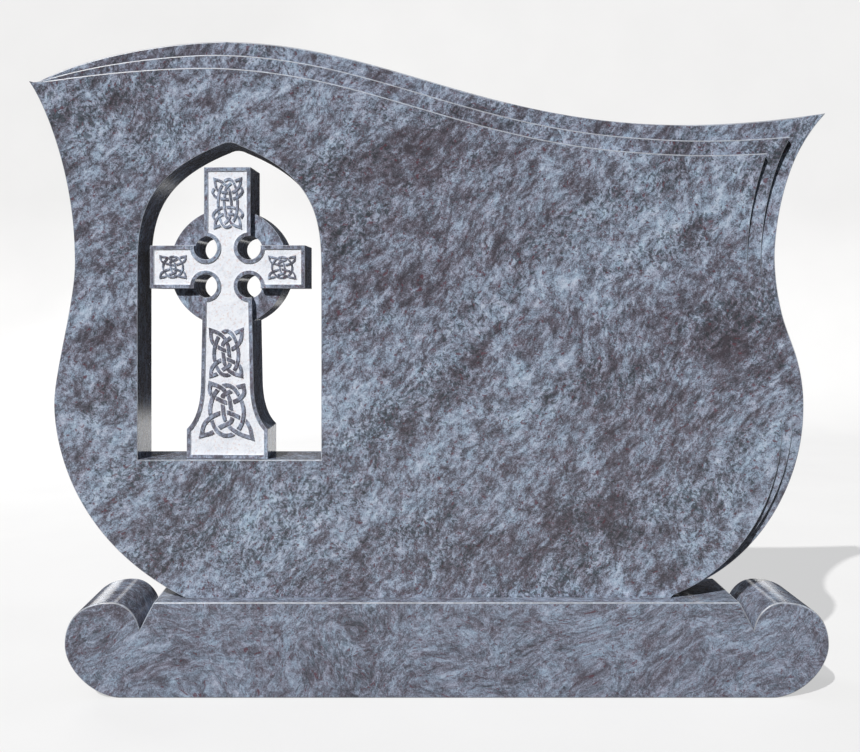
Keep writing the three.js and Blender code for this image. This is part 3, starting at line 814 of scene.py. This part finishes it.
def granite_figure():
    """Flowing granite: bands and wisps along one direction, crystals, dark and rust flecks."""
    group, given, out = new_group(
        "Granite Figure",
        [
            ("Vector", "NodeSocketVector", None),
            ("Flow Angle", "NodeSocketFloat", 0.56),
            ("Swirl", "NodeSocketFloat", 0.05),
            ("Curl", "NodeSocketVector", (0.035, 0.02, 0.02)),
            ("Band Strength", "NodeSocketFloat", 0.9),
            ("Streaks", "NodeSocketFloat", 0.0),
            ("Contrast", "NodeSocketFloat", 1.0),
        ],
        [(label, "NodeSocketFloat") for label in ("Tone", "Dark Flecks", "Rust Flecks", "Warmth", "Crystals")],
    )
    place = given.outputs["Vector"]
    turned = leaned(group, place, given.outputs["Flow Angle"])
    drift = add_node(
        group, "ShaderNodeVectorMath", {"operation": "SCALE"},
        {0: wander(group, turned, 2.6, 2.0, 0.5), "Scale": given.outputs["Swirl"]},
    )
    drifted = vectors(group, "ADD", turned, drift.outputs[0])
    curl = vectors(group, "MULTIPLY", wander(group, drifted, 17.0, 3.0, 0.6), given.outputs["Curl"])
    curled = vectors(group, "ADD", drifted, curl)
    along = drawn_out(group, curled, 0.34)
    steep = leaned(group, curled, 0.4)
    bands = noise(group, along, 6.0, 3.0)
    patches = noise(group, drawn_out(group, curled, 0.55), 24.0, 2.0)
    wisps = noise(group, drawn_out(group, steep, 0.5), 62.0, 2.0, 0.6)
    mottle = noise(group, drawn_out(group, steep, 0.6), 170.0, 2.0, 0.6)
    grain = noise(group, place, 430.0, 2.0, 0.7)

    broad = maths(group, "MULTIPLY", spread(group, bands, 1.2), given.outputs["Band Strength"])
    broad = maths(group, "ADD", broad, spread(group, patches, 0.68))
    broad = maths(group, "ADD", broad, given.outputs["Streaks"])
    tone = broad
    for fine, amount in ((wisps, 1.1), (mottle, 1.15), (grain, 1.05)):
        tone = maths(group, "ADD", tone, spread(group, fine, amount))
    warmth = noise(group, vectors(group, "ADD", curled, (3.1, 0.7, 1.9)), 60.0, 4.0, 0.7)
    warmth = maths(group, "ADD", spread(group, warmth, 2.4), 0.5)
    clusters = noise(group, along, 14.0, 3.0, 0.6)
    limit = maths(group, "MULTIPLY_ADD", clusters, -0.85, 1.045)
    results = {
        "Tone": maths(group, "MULTIPLY_ADD", tone, given.outputs["Contrast"], 0.5),
        "Dark Flecks": fleck_mask(group, curled, (0.9, 0.4, 0.2), 200.0, limit),
        "Rust Flecks": fleck_mask(group, curled, (0.31, 0.17, 0.05), 160.0, 0.66),
        "Warmth": maths(group, "SUBTRACT", warmth, broad, clamped=True),
        "Crystals": grain,
    }
    for label, value in results.items():
        group.links.new(value, out.inputs[label])


def streak_group():
    """One long soft streak: strongest in its middle, fading to nothing."""
    group, given, out = new_group(
        "Streak",
        [
            ("Vector", "NodeSocketVector", None), ("Middle", "NodeSocketVector", None),
            ("Rise", "NodeSocketFloat", 0.5), ("Shrink", "NodeSocketVector", None),
            ("Tone", "NodeSocketFloat", 0.0),
        ],
        [("Value", "NodeSocketFloat")],
    )
    away = vectors(group, "SUBTRACT", given.outputs["Vector"], given.outputs["Middle"])
    shrunk = vectors(group, "MULTIPLY", leaned(group, away, given.outputs["Rise"]), given.outputs["Shrink"])
    squared = add_node(group, "ShaderNodeVectorMath", {"operation": "DOT_PRODUCT"}, {0: shrunk, 1: shrunk})
    fall = maths(group, "EXPONENT", maths(group, "MULTIPLY", squared.outputs["Value"], -1.0))
    group.links.new(maths(group, "MULTIPLY", fall, given.outputs["Tone"]), out.inputs[0])


def streaks_of(tree, place, streaks):
    """Sum of the given streaks, on a place that wavers a little."""
    waver = vectors(tree, "MULTIPLY", wander(tree, place, 9.0, 3.0, 0.6), (0.16, 0.0, 0.16))
    wavering = vectors(tree, "ADD", place, waver)
    total = 0.0
    for x, z, length, width, rise, tone in streaks:
        streak = use_group(tree, "Streak", {
            "Vector": wavering, "Middle": (x, 0.0, z), "Rise": math.radians(rise),
            "Shrink": (1 / length, 0.0, 1 / width), "Tone": tone,
        })
        total = maths(tree, "ADD", streak.outputs[0], total)
    return total


def sawn_marks():
    """Fine parallel marks of the saw, on the faces that are left unpolished."""
    group, given, out = new_group(
        "Sawn Marks", [("Vector", "NodeSocketVector", None)], [("Height", "NodeSocketFloat")],
    )
    waves = add_node(
        group, "ShaderNodeTexWave", {"wave_type": "BANDS", "bands_direction": "X"},
        {"Vector": given.outputs[0], "Scale": 60.0, "Distortion": 1.2, "Detail": 2.0},
    ).outputs["Fac"]
    grit = noise(group, given.outputs[0], 900.0, 3.0, 0.7)
    height = maths(group, "MULTIPLY_ADD", grit, 0.7, maths(group, "MULTIPLY", waves, 0.4))
    group.links.new(height, out.inputs[0])


def place_of(tree, offset=(0.0, 0.0, 0.0)):
    coordinates = tree.nodes.new("ShaderNodeTexCoord").outputs["Object"]
    return vectors(tree, "ADD", coordinates, offset)


def granite_colour(tree, figure, lightness, flecks=0.7):
    """Colour of polished granite from its figure, with the lightness and strength of dark flecks given."""
    def shade(red, green, blue):
        return (red * lightness, green * lightness, blue * lightness)

    colour = ramp(
        tree, figure.outputs["Tone"],
        [
            (0.05, shade(0.066, 0.063, 0.075)), (0.34, shade(0.128, 0.131, 0.161)),
            (0.52, shade(0.210, 0.238, 0.300)), (0.70, shade(0.325, 0.386, 0.486)),
            (1.0, shade(0.505, 0.582, 0.685)),
        ],
    )
    tint = mixed(tree, figure.outputs["Warmth"], (0.91, 1.0, 1.05, 1.0), (1.09, 0.985, 1.01, 1.0))
    colour = mixed(tree, 1.0, colour, tint, "MULTIPLY")
    colour = mixed(
        tree, maths(tree, "MULTIPLY", figure.outputs["Dark Flecks"], flecks), colour,
        (*shade(0.030, 0.042, 0.046), 1.0),
    )
    return mixed(
        tree, maths(tree, "MULTIPLY", figure.outputs["Rust Flecks"], 0.7), colour,
        (*shade(0.120, 0.045, 0.058), 1.0),
    )


def new_material(name, colour):
    material = bpy.data.materials.new(name)
    material.use_nodes = True
    material.diffuse_color = (*colour, 1.0)
    tree = material.node_tree
    return material, tree, tree.nodes["Principled BSDF"]


def polished_granite(name, lightness, roughness, figure, flecks, offset=(0.0, 0.0, 0.0), streaks=()):
    """Polished stone, hazed a little, with pores where its dark flecks are."""
    _, tree, shader = new_material(name, (0.25, 0.28, 0.34))
    place = place_of(tree, offset)
    grown = use_group(
        tree, "Granite Figure", {"Vector": place, "Streaks": streaks_of(tree, place, streaks), **figure},
    )
    tree.links.new(granite_colour(tree, grown, lightness, flecks), shader.inputs["Base Color"])
    dull = maths(tree, "MULTIPLY_ADD", grown.outputs["Crystals"], 0.05, roughness)
    dull = maths(tree, "MULTIPLY_ADD", noise(tree, place, 5.0, 2.0), 0.05, dull)
    tree.links.new(dull, shader.inputs["Roughness"])
    add_bump(tree, shader, grown.outputs["Dark Flecks"], 0.06, 0.0006)


def frosted_granite():
    """The sandblasted ground of the cross: nearly white, with faint flecks."""
    _, tree, shader = new_material("Frosted Granite", (0.75, 0.78, 0.84))
    place = place_of(tree)
    figure = use_group(
        tree, "Granite Figure", {"Vector": place, "Flow Angle": 0.4, "Swirl": 0.03, "Band Strength": 0.3},
    )
    ground = ramp(
        tree, figure.outputs["Tone"],
        [(0.0, (0.60, 0.64, 0.71)), (0.4, (0.74, 0.77, 0.84)), (1.0, (0.82, 0.85, 0.90))],
    )
    freckles = noise(tree, place, 230.0, 3.0, 0.6)
    pink = maths(tree, "MULTIPLY", maths(tree, "SUBTRACT", freckles, 0.55), 8.0, clamped=True)
    ground = mixed(tree, maths(tree, "MULTIPLY", pink, 0.6), ground, (0.62, 0.50, 0.49, 1.0))
    blue = maths(tree, "MULTIPLY", figure.outputs["Dark Flecks"], 0.16)
    ground = mixed(tree, blue, ground, (0.36, 0.42, 0.52, 1.0))
    tree.links.new(ground, shader.inputs["Base Color"])
    shader.inputs["Roughness"].default_value = 0.82
    add_bump(tree, shader, noise(tree, place, 1400.0, 3.0, 0.7), 0.45, 0.0004)


def faded_granite(name, lightness, bands, wash, washed_share):
    """Stone without its polish: its own colour, washed with a pale grey."""
    _, tree, shader = new_material(name, wash)
    place = place_of(tree)
    figure = use_group(tree, "Granite Figure", {"Vector": place, "Band Strength": bands})
    faded = mixed(tree, washed_share, granite_colour(tree, figure, lightness), (*wash, 1.0))
    tree.links.new(faded, shader.inputs["Base Color"])
    return tree, shader, place


def eased_arris_sheen():
    """Arrises, rubbed down by hand: less glossy than the polished faces, and paler, partly from their honed
    finish and partly as a painted highlight for the glint along the edges.
    """
    # The pale wash is partly a painted highlight along the edges
    tree, shader, place = faded_granite("Eased Arris Sheen", 0.9, 0.4, (0.45, 0.48, 0.53), 0.5)
    rubbed = maths(tree, "MULTIPLY_ADD", noise(tree, place, 300.0, 2.0), 0.12, 0.34)
    tree.links.new(rubbed, shader.inputs["Roughness"])
    shader.inputs["Specular IOR Level"].default_value = 0.9


def sawn_granite():
    """Undersides, left as the saw cut them."""
    tree, shader, place = faded_granite("Sawn Granite", 1.25, 0.5, (0.42, 0.45, 0.5), 0.45)
    shader.inputs["Roughness"].default_value = 0.8
    add_bump(tree, shader, use_group(tree, "Sawn Marks", {"Vector": place}).outputs[0], 0.5, 0.0008)


def make_materials(settings):
    granite_figure()
    streak_group()
    sawn_marks()
    flow = settings.flow_angle
    polish = settings.polish_roughness
    lightness = settings.stone_lightness
    slight, strong = (0.035, 0.02, 0.02), (0.075, 0.05, 0.05)
    polished_granite(
        "Slab Granite", lightness, polish,
        {"Flow Angle": flow, "Swirl": 0.10, "Curl": slight, "Band Strength": 0.48, "Contrast": 1.0},
        flecks=0.6, streaks=STREAKS,
    )
    polished_granite(
        "Base Granite", lightness * 1.04, polish,
        {"Flow Angle": flow - 0.3, "Swirl": 0.36, "Curl": strong, "Band Strength": 0.3, "Contrast": 0.7},
        flecks=0.4, offset=(2.3, 4.1, 5.6),
    )
    polished_granite(
        "Cross Granite", lightness * 1.14, polish,
        {"Flow Angle": flow + 0.5, "Swirl": 0.12, "Curl": slight, "Band Strength": 0.6, "Contrast": 0.8},
        flecks=0.4, offset=(1.7, 5.2, 2.4),
    )
    frosted_granite()
    eased_arris_sheen()
    sawn_granite()


# Pieces

def rebate(outline, profile):
    """Cutter of a rebate: its plan on the slab's front, as deep as the profile of its floor says."""
    plan = prism("rebate", outline, FRONT - 10, FRONT + 40)
    return carve(plan, lengthwise_prism("rebate floor", profile), "INTERSECT")


def step_cutter(width_steps, depth_steps):
    """The upper rebate: along the top, round the right tip and down to the waist."""
    top = inner_line(slab_top(), top_width(width_steps))
    upper = [p for p in slab_right() if p[1] > STEP_FADE_HEIGHT - 20]
    side = inner_line(upper, side_width(width_steps))
    i, j, corner = crossing(top, side)
    inner = top[: i + 1] + [corner] + side[j + 1:]
    far = TIP_SPAN / 2 + 60
    floor = FRONT + depth_steps * STEP_DEPTH
    return rebate(
        inner + [(far, inner[-1][1]), (far, 980.0), (-far, 980.0), (-far, LEFT_TIP[1])],
        [(FRONT - 12, 440), (RUN_OUT, 440), (RUN_OUT, STEP_FADE_HEIGHT), (floor, STEP_FULL_ABOVE),
         (floor, 1000), (FRONT - 12, 1000)],
    )


def low_step_cutter(depth_steps, widest, power):
    """The lower rebate: from the belly, deepening down to the right foot."""
    lower = [p for p in slab_right() if p[1] < LOW_STEP_START + 15]
    inner = inner_line(lower, low_width(widest, power))
    far = TIP_SPAN / 2 + 60
    floor = FRONT + depth_steps * STEP_DEPTH
    return rebate(
        inner + [(RIGHT_FOOT[0] + 8, -20.0), (far, -20.0), (far, inner[0][1])],
        [(FRONT - 12, -30), (floor, -30), (floor, 0), (RUN_OUT, LOW_STEP_START), (RUN_OUT, 400),
         (FRONT - 12, 400)],
    )


def lengthwise_prism(name, outline):
    """Prism of an outline in the Y-Z plane that runs past both tips."""
    made = prism(name, [(y, z) for y, z in outline], -TIP_SPAN / 2 - 90, TIP_SPAN / 2 + 90)
    made.data.transform(Matrix(((0, 1, 0, 0), (1, 0, 0, 0), (0, 0, 1, 0), (0, 0, 0, 1))))
    made.data.flip_normals()
    return made


def build_slab(settings):
    outline = slab_left() + slab_top()[:-1] + slab_right()
    slab = prism("Slab", outline, FRONT, -FRONT)
    carve(slab, prism("window", window_outline(), FRONT - 20, -FRONT + 20))
    carve(slab, step_cutter(2, 1))
    carve(slab, step_cutter(1, 2))
    carve(slab, low_step_cutter(1, LOW_STEP_INNER, 0.5))
    carve(slab, low_step_cutter(2, LOW_STEP_OUTER, 0.28))

    edge = kdtree.KDTree(len(outline))
    for i, (x, z) in enumerate(outline):
        edge.insert((x, 0.0, z), i)
    edge.balance()

    def weight(middle, facing):
        """Full at the back; in front it dies out at the sharp ends and where the steps run out."""
        x, y, z = middle
        if y > 0:
            return 1.0
        near_ends = min(
            math.hypot(x - LEFT_TIP[0], z - LEFT_TIP[1]) / TIP_EASING,
            math.hypot(x - RIGHT_FOOT[0], z - RIGHT_FOOT[1]) / FOOT_EASING,
        )
        inward = edge.find((x, 0.0, z))[2]
        beside_window = abs(x - WINDOW_CENTRE_X) < WINDOW_WIDTH / 2 + 5
        if inward < 4.0 or (beside_window and SILL_HEIGHT - 5 < z < ARCH_TOP_HEIGHT + 5):
            return rounding_and_highlight_share(facing, 0.4) * clamp(near_ends)
        faded = (z - STEP_FADE_HEIGHT) / (STEP_FULL_ABOVE - STEP_FADE_HEIGHT)
        if z < LOW_STEP_START + 20:
            faded = (LOW_STEP_START - z) / LOW_STEP_START
        return rounding_and_highlight_share(facing, 0.4) * clamp(min(near_ends, inward / 9, faded * STEP_DEPTH / 3.5))

    round_arrises(slab, settings.arris_width, 3, weight)
    to_metres(slab)
    foot = BASE_HEIGHT * MM
    slab.data.transform(Matrix.Translation((0, 0, foot)))

    def finish(middle, normal):
        return 1 if normal.z < -0.99 and middle.z < foot + 0.001 else 0

    paint_faces(slab, finishes("Slab Granite", "Sawn Granite"), finish)
    take_place(slab, "headstone")


def build_base(settings):
    base = prism("Base", base_outline(), -BASE_DEPTH / 2, BASE_DEPTH / 2)
    round_arrises(base, settings.arris_width, 3, lambda middle, facing: rounding_and_highlight_share(facing, 0.5))
    to_metres(base)
    materials = finishes("Base Granite", "Sawn Granite")
    paint_faces(base, materials, lambda middle, normal: 1 if normal.z < -0.99 else 0)
    take_place(base, "base")


def cross_placing():
    """Turns the cross a little and sets it on the sill, in metres."""
    turn = math.radians(-CROSS_TURN)
    place = (
        (WINDOW_CENTRE_X + CROSS_SHIFT + CROSS_DEPTH / 2 * math.sin(-turn)) * MM,
        (FRONT + CROSS_SETBACK + CROSS_DEPTH / 2 * math.cos(turn)) * MM,
        (BASE_HEIGHT + SILL_HEIGHT + REST_GAP) * MM,
    )
    return Matrix.Translation(place) @ Matrix.Rotation(turn, 4, "Z")


def build_cross(settings):
    back = CROSS_DEPTH / 2
    cross = prism("Cross", cross_outline(), FACE, back)
    disc = ring_outline(0, ARM_CENTRE_HEIGHT, DISC_RADIUS, 144)
    carve(cross, prism("disc", disc, FACE + DISC_SETBACK, back), "UNION")
    eyes = [
        (side * EYE_OFFSET_X, ARM_CENTRE_HEIGHT + level * EYE_OFFSET_Z)
        for side in (-1, 1) for level in (-1, 1)
    ]
    field = prism("field", cross_outline(BORDER_WIDTH), FACE - 3, FACE + FIELD_DEPTH)
    for x, z in eyes:
        carve(field, prism("rim", ring_outline(x, z, EYE_RADIUS + RIM_WIDTH, 96), FACE - 6, FACE + 6))
    carve(cross, field)
    for x, z in eyes:
        carve(cross, prism("eye", ring_outline(x, z, EYE_RADIUS, 80), FACE - 8, back + 8))
    round_arrises(cross, settings.carving_arris, 2, lambda middle, facing: 1.0)
    to_metres(cross)
    floor = (FACE + FIELD_DEPTH) * MM

    def finish(middle, normal):
        """The ground and the walls of the sunk field are frosted."""
        sunk = abs(middle.y - floor) < 0.0002 and normal.y < -0.9
        wall = abs(normal.y) < 0.3 and FACE * MM < middle.y < floor
        inside = wall and abs(middle.y - (FACE + FIELD_DEPTH / 2) * MM) < 0.0004
        return 1 if sunk or inside else 0

    paint_faces(cross, finishes("Cross Granite", "Frosted Granite"), finish)
    cross.data.transform(cross_placing())
    take_place(cross, "celtic_cross")


def build_knots():
    shape = bmesh.new()
    for panel in (HEAD_KNOT, LEFT_KNOT, RIGHT_KNOT, SHAFT_KNOT, FOOT_KNOT):
        for outline in knot_outlines(panel, panel is HEAD_KNOT):
            add_prism(shape, outline, FACE, FACE + FIELD_DEPTH + KNOT_ROOT)
    knots = mesh_object("Knotwork", shape)
    to_metres(knots)
    knots.data.materials.append(bpy.data.materials["Cross Granite"])
    knots.data.transform(cross_placing())
    take_place(knots, "celtic_cross")


# Stage

def backdrop_paper():
    """Pale to the eye. To every other ray it is nearly black, a painted shade that darkens the stone's sides,
    reveals and undersides, except for a grey floor in front. Pale glowing stretches that only glossy rays see
    are painted reflections on the polished stone.
    """
    material, tree, shader = new_material("Backdrop Paper", (0.85, 0.85, 0.85))
    place = add_node(tree, "ShaderNodeSeparateXYZ", inputs={0: place_of(tree)})
    x, y, z = (place.outputs[axis] for axis in "XYZ")

    def edge(value, start, slope):
        """Grows from nought to one where the value passes start."""
        return maths(tree, "MULTIPLY", maths(tree, "SUBTRACT", value, start), slope, clamped=True)

    def stretch(value, start, end, slope):
        return maths(tree, "MULTIPLY", edge(value, start, slope), edge(value, end, -slope))

    def both(a, b):
        return maths(tree, "MULTIPLY", a, b)

    tint = noise(tree, place_of(tree), 3.0, 3.0)
    pale = ramp(tree, tint, [(0.3, (0.29, 0.29, 0.293)), (0.7, (0.31, 0.31, 0.313))])
    path = tree.nodes.new("ShaderNodeLightPath")
    seen = path.outputs["Is Camera Ray"]
    # Painted reflections: pale stretches of floor and wall that only glossy rays see, which give the polished
    # stone its glints and bands
    painted_floor_glint = both(both(stretch(x, 0.0, 0.7, 12.0), stretch(y, 2.2, 3.9, 4.0)), edge(z, 0.1, -20.0))
    aside = maths(tree, "ABSOLUTE", x)
    painted_glint_ribs = maths(tree, "MULTIPLY_ADD", maths(tree, "SINE", maths(tree, "MULTIPLY", x, 90.0)), 0.3, 0.7)
    painted_ribbed_glint = both(both(stretch(aside, 1.0, 1.5, 12.0), edge(z, 1.35, 12.0)), painted_glint_ribs)
    # A painted reflection band beside the stone, mirrored in the rolls
    panel = both(stretch(aside, 1.85, 2.3, 14.0), stretch(z, 0.2, 1.3, 8.0))
    painted_arch_glint = both(both(stretch(x, -0.95, -0.4, 8.0), stretch(z, 0.86, 1.14, 16.0)), edge(y, 4.0, 5.0))
    near = maths(tree, "MAXIMUM", both(painted_floor_glint, 0.6), both(painted_arch_glint, 0.2))
    painted_reflections = maths(tree, "MAXIMUM", near, maths(tree, "MAXIMUM", painted_ribbed_glint, panel))
    painted_reflections = both(painted_reflections, path.outputs["Is Glossy Ray"])
    # Painted shade: to the stone's rays the backdrop is nearly black, and grey only on the floor in front
    painted_shade_and_reflections = mixed(tree, edge(y, -0.3, -3.0), (0.03, 0.03, 0.032, 1.0), (0.25, 0.25, 0.25, 1.0))
    painted_shade_and_reflections = mixed(tree, painted_reflections, painted_shade_and_reflections, (0.8, 0.8, 0.8, 1.0))
    tree.links.new(mixed(tree, seen, painted_shade_and_reflections, pale), shader.inputs["Base Color"])
    # The painted reflections glow to glossy rays; to the camera the whole backdrop glows evenly
    painted_reflection_glow = mixed(tree, painted_reflections, (0.0, 0.0, 0.0, 1.0), (1.7, 1.7, 1.7, 1.0))
    tree.links.new(mixed(tree, seen, painted_reflection_glow, (1.0, 1.0, 1.0, 1.0)), shader.inputs["Emission Color"])
    shader.inputs["Emission Strength"].default_value = 0.56
    shader.inputs["Roughness"].default_value = 0.9
    shader.inputs["Specular IOR Level"].default_value = 0.1
    return material


def make_sky(strength):
    """Soft light from above that fades towards the horizon; to the eye it is pale throughout."""
    world = bpy.data.worlds.new("Studio")
    world.use_nodes = True
    tree = world.node_tree
    toward = tree.nodes.new("ShaderNodeTexCoord").outputs["Generated"]
    height = add_node(tree, "ShaderNodeSeparateXYZ", inputs={0: toward}).outputs["Z"]
    colour = ramp(
        tree, height,
        [
            (0.0, (0.03, 0.03, 0.03)), (0.35, (0.06, 0.065, 0.07)), (0.8, (0.75, 0.85, 1.0)),
            (1.0, (0.8, 0.9, 1.0)),
        ],
    )
    seen = tree.nodes.new("ShaderNodeLightPath").outputs["Is Camera Ray"]
    pale = 0.88 / max(strength, 0.01)
    background = tree.nodes["Background"]
    tree.links.new(mixed(tree, seen, colour, (pale, pale, pale, 1.0)), background.inputs["Color"])
    background.inputs["Strength"].default_value = strength
    bpy.context.scene.world = world


def backdrop_sheet():
    """Floor that bends up into a wall behind the stone."""
    sheet = bmesh.new()
    profile = [(FLOOR_FRONT, 0.0), (FLOOR_BACK, 0.0)]
    for i in range(1, 25):
        turn = math.pi / 2 * i / 24
        profile.append((FLOOR_BACK + WALL_BEND * math.sin(turn), WALL_BEND - WALL_BEND * math.cos(turn)))
    profile.append((FLOOR_BACK + WALL_BEND, WALL_TOP))
    sides = (-BACKDROP_HALF_WIDTH, BACKDROP_HALF_WIDTH)
    rows = [[sheet.verts.new((x, y, z)) for y, z in profile] for x in sides]
    for i in range(len(profile) - 1):
        face = sheet.faces.new((rows[0][i], rows[1][i], rows[1][i + 1], rows[0][i + 1]))
        face.smooth = True
    mesh = bpy.data.meshes.new("Backdrop")
    sheet.to_mesh(mesh)
    sheet.free()
    mesh.materials.append(backdrop_paper())
    return in_scene("Backdrop", mesh)


def aimed(*direction):
    return Vector(direction).to_track_quat("-Z", "Y").to_euler()


def build_stage(settings):
    backdrop_sheet()

    sun = bpy.data.lights.new("Key", "SUN")
    sun.energy = settings.key_strength
    sun.angle = math.radians(0.9)
    sun.color = (1.0, 0.985, 0.96)
    key = in_scene("Key", sun)
    key.rotation_euler = aimed(0.5, 1.0, -0.98)

    soft = bpy.data.lights.new("Back Fill", "AREA")
    soft.shape = "RECTANGLE"
    soft.size, soft.size_y = 2.4, 1.6
    soft.energy = settings.back_fill
    back_fill = in_scene("Back Fill", soft)
    back_fill.location = (-2.4, 3.2, 2.2)
    back_fill.rotation_euler = aimed(2.4, -3.2, -1.6)
    back_fill.visible_glossy = False
    back_fill.visible_camera = False

    make_sky(settings.fill_strength)

    lens = bpy.data.cameras.new("Camera")
    lens.lens = FOCAL_LENGTH
    lens.sensor_width = 36.0
    lens.shift_x, lens.shift_y = (shift / PICTURE_WIDTH for shift in VIEW_SHIFT)
    camera = in_scene("Camera", lens)
    camera.location = CAMERA_PLACE
    camera.rotation_euler = (math.radians(90), 0, 0)
    bpy.context.scene.camera = camera
    bpy.context.scene.view_settings.view_transform = "Standard"


# Settings, operators and panel

class HeadstoneSettings(bpy.types.PropertyGroup):
    """Finish of the stones and strength of the light."""

    arris_width: bpy.props.FloatProperty(
        name="Arris width", description="Width of the rounded arrises of slab and base, in millimetres",
        default=2.2, min=0.2, max=4.0,
    )
    carving_arris: bpy.props.FloatProperty(
        name="Carving arris", description="Width of the rounded arrises of the cross, in millimetres",
        default=0.6, min=0.1, max=1.5,
    )
    flow_angle: bpy.props.FloatProperty(
        name="Flow angle", description="Rise of the slab's streaks from left to right",
        default=math.radians(33), subtype="ANGLE",
    )
    stone_lightness: bpy.props.FloatProperty(
        name="Stone lightness", description="Lightness of the polished stone", default=0.88, min=0.1, max=1.5,
    )
    polish_roughness: bpy.props.FloatProperty(
        name="Polish roughness", description="Lowest roughness of the polished faces",
        default=0.10, min=0.0, max=1.0,
    )
    key_strength: bpy.props.FloatProperty(
        name="Key strength", description="Strength of the key light", default=4.5, min=0.0,
    )
    fill_strength: bpy.props.FloatProperty(
        name="Sky strength", description="Strength of the soft light from above", default=0.13, min=0.0,
    )
    back_fill: bpy.props.FloatProperty(
        name="Back fill", description="Power of the soft light on the back, in watts", default=65.0, min=0.0,
    )


class HEADSTONE_OT_materials(bpy.types.Operator):
    """Makes the polished, frosted and sawn granite"""

    bl_idname = "headstone.materials"
    bl_label = "Granite"

    def execute(self, context):
        make_materials(context.scene.headstone_settings)
        return {"FINISHED"}


class HEADSTONE_OT_slab(bpy.types.Operator):
    """Builds the slab with its window and stepped edges"""

    bl_idname = "headstone.slab"
    bl_label = "Slab"

    def execute(self, context):
        build_slab(context.scene.headstone_settings)
        return {"FINISHED"}


class HEADSTONE_OT_cross(bpy.types.Operator):
    """Builds the cross and its knotwork"""

    bl_idname = "headstone.cross"
    bl_label = "Cross"

    def execute(self, context):
        build_cross(context.scene.headstone_settings)
        build_knots()
        return {"FINISHED"}


class HEADSTONE_OT_base(bpy.types.Operator):
    """Builds the base with its rolled ends"""

    bl_idname = "headstone.base"
    bl_label = "Base"

    def execute(self, context):
        build_base(context.scene.headstone_settings)
        return {"FINISHED"}


class HEADSTONE_OT_stage(bpy.types.Operator):
    """Sets up the floor, the light and the camera"""

    bl_idname = "headstone.stage"
    bl_label = "Stage"

    def execute(self, context):
        build_stage(context.scene.headstone_settings)
        return {"FINISHED"}


class HEADSTONE_PT_panel(bpy.types.Panel):
    """Settings and steps of the headstone"""

    bl_idname = "HEADSTONE_PT_panel"
    bl_label = "Headstone"
    bl_space_type = "VIEW_3D"
    bl_region_type = "UI"
    bl_category = "Headstone"

    def draw(self, context):
        settings = context.scene.headstone_settings
        for name in HeadstoneSettings.__annotations__:
            self.layout.prop(settings, name)
        for step in STEPS:
            self.layout.operator(step.bl_idname)


STEPS = (
    HEADSTONE_OT_materials,
    HEADSTONE_OT_base,
    HEADSTONE_OT_slab,
    HEADSTONE_OT_cross,
    HEADSTONE_OT_stage,
)
CLASSES = (HeadstoneSettings, *STEPS, HEADSTONE_PT_panel)


def register():
    for made in CLASSES:
        bpy.utils.register_class(made)
    bpy.types.Scene.headstone_settings = bpy.props.PointerProperty(type=HeadstoneSettings)


def unregister():
    del bpy.types.Scene.headstone_settings
    for made in reversed(CLASSES):
        bpy.utils.unregister_class(made)


def main():
    register()
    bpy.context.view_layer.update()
    bpy.ops.headstone.materials()
    bpy.ops.headstone.base()
    bpy.ops.headstone.slab()
    bpy.ops.headstone.cross()
    bpy.ops.headstone.stage()


if __name__ == "__main__":
    main()
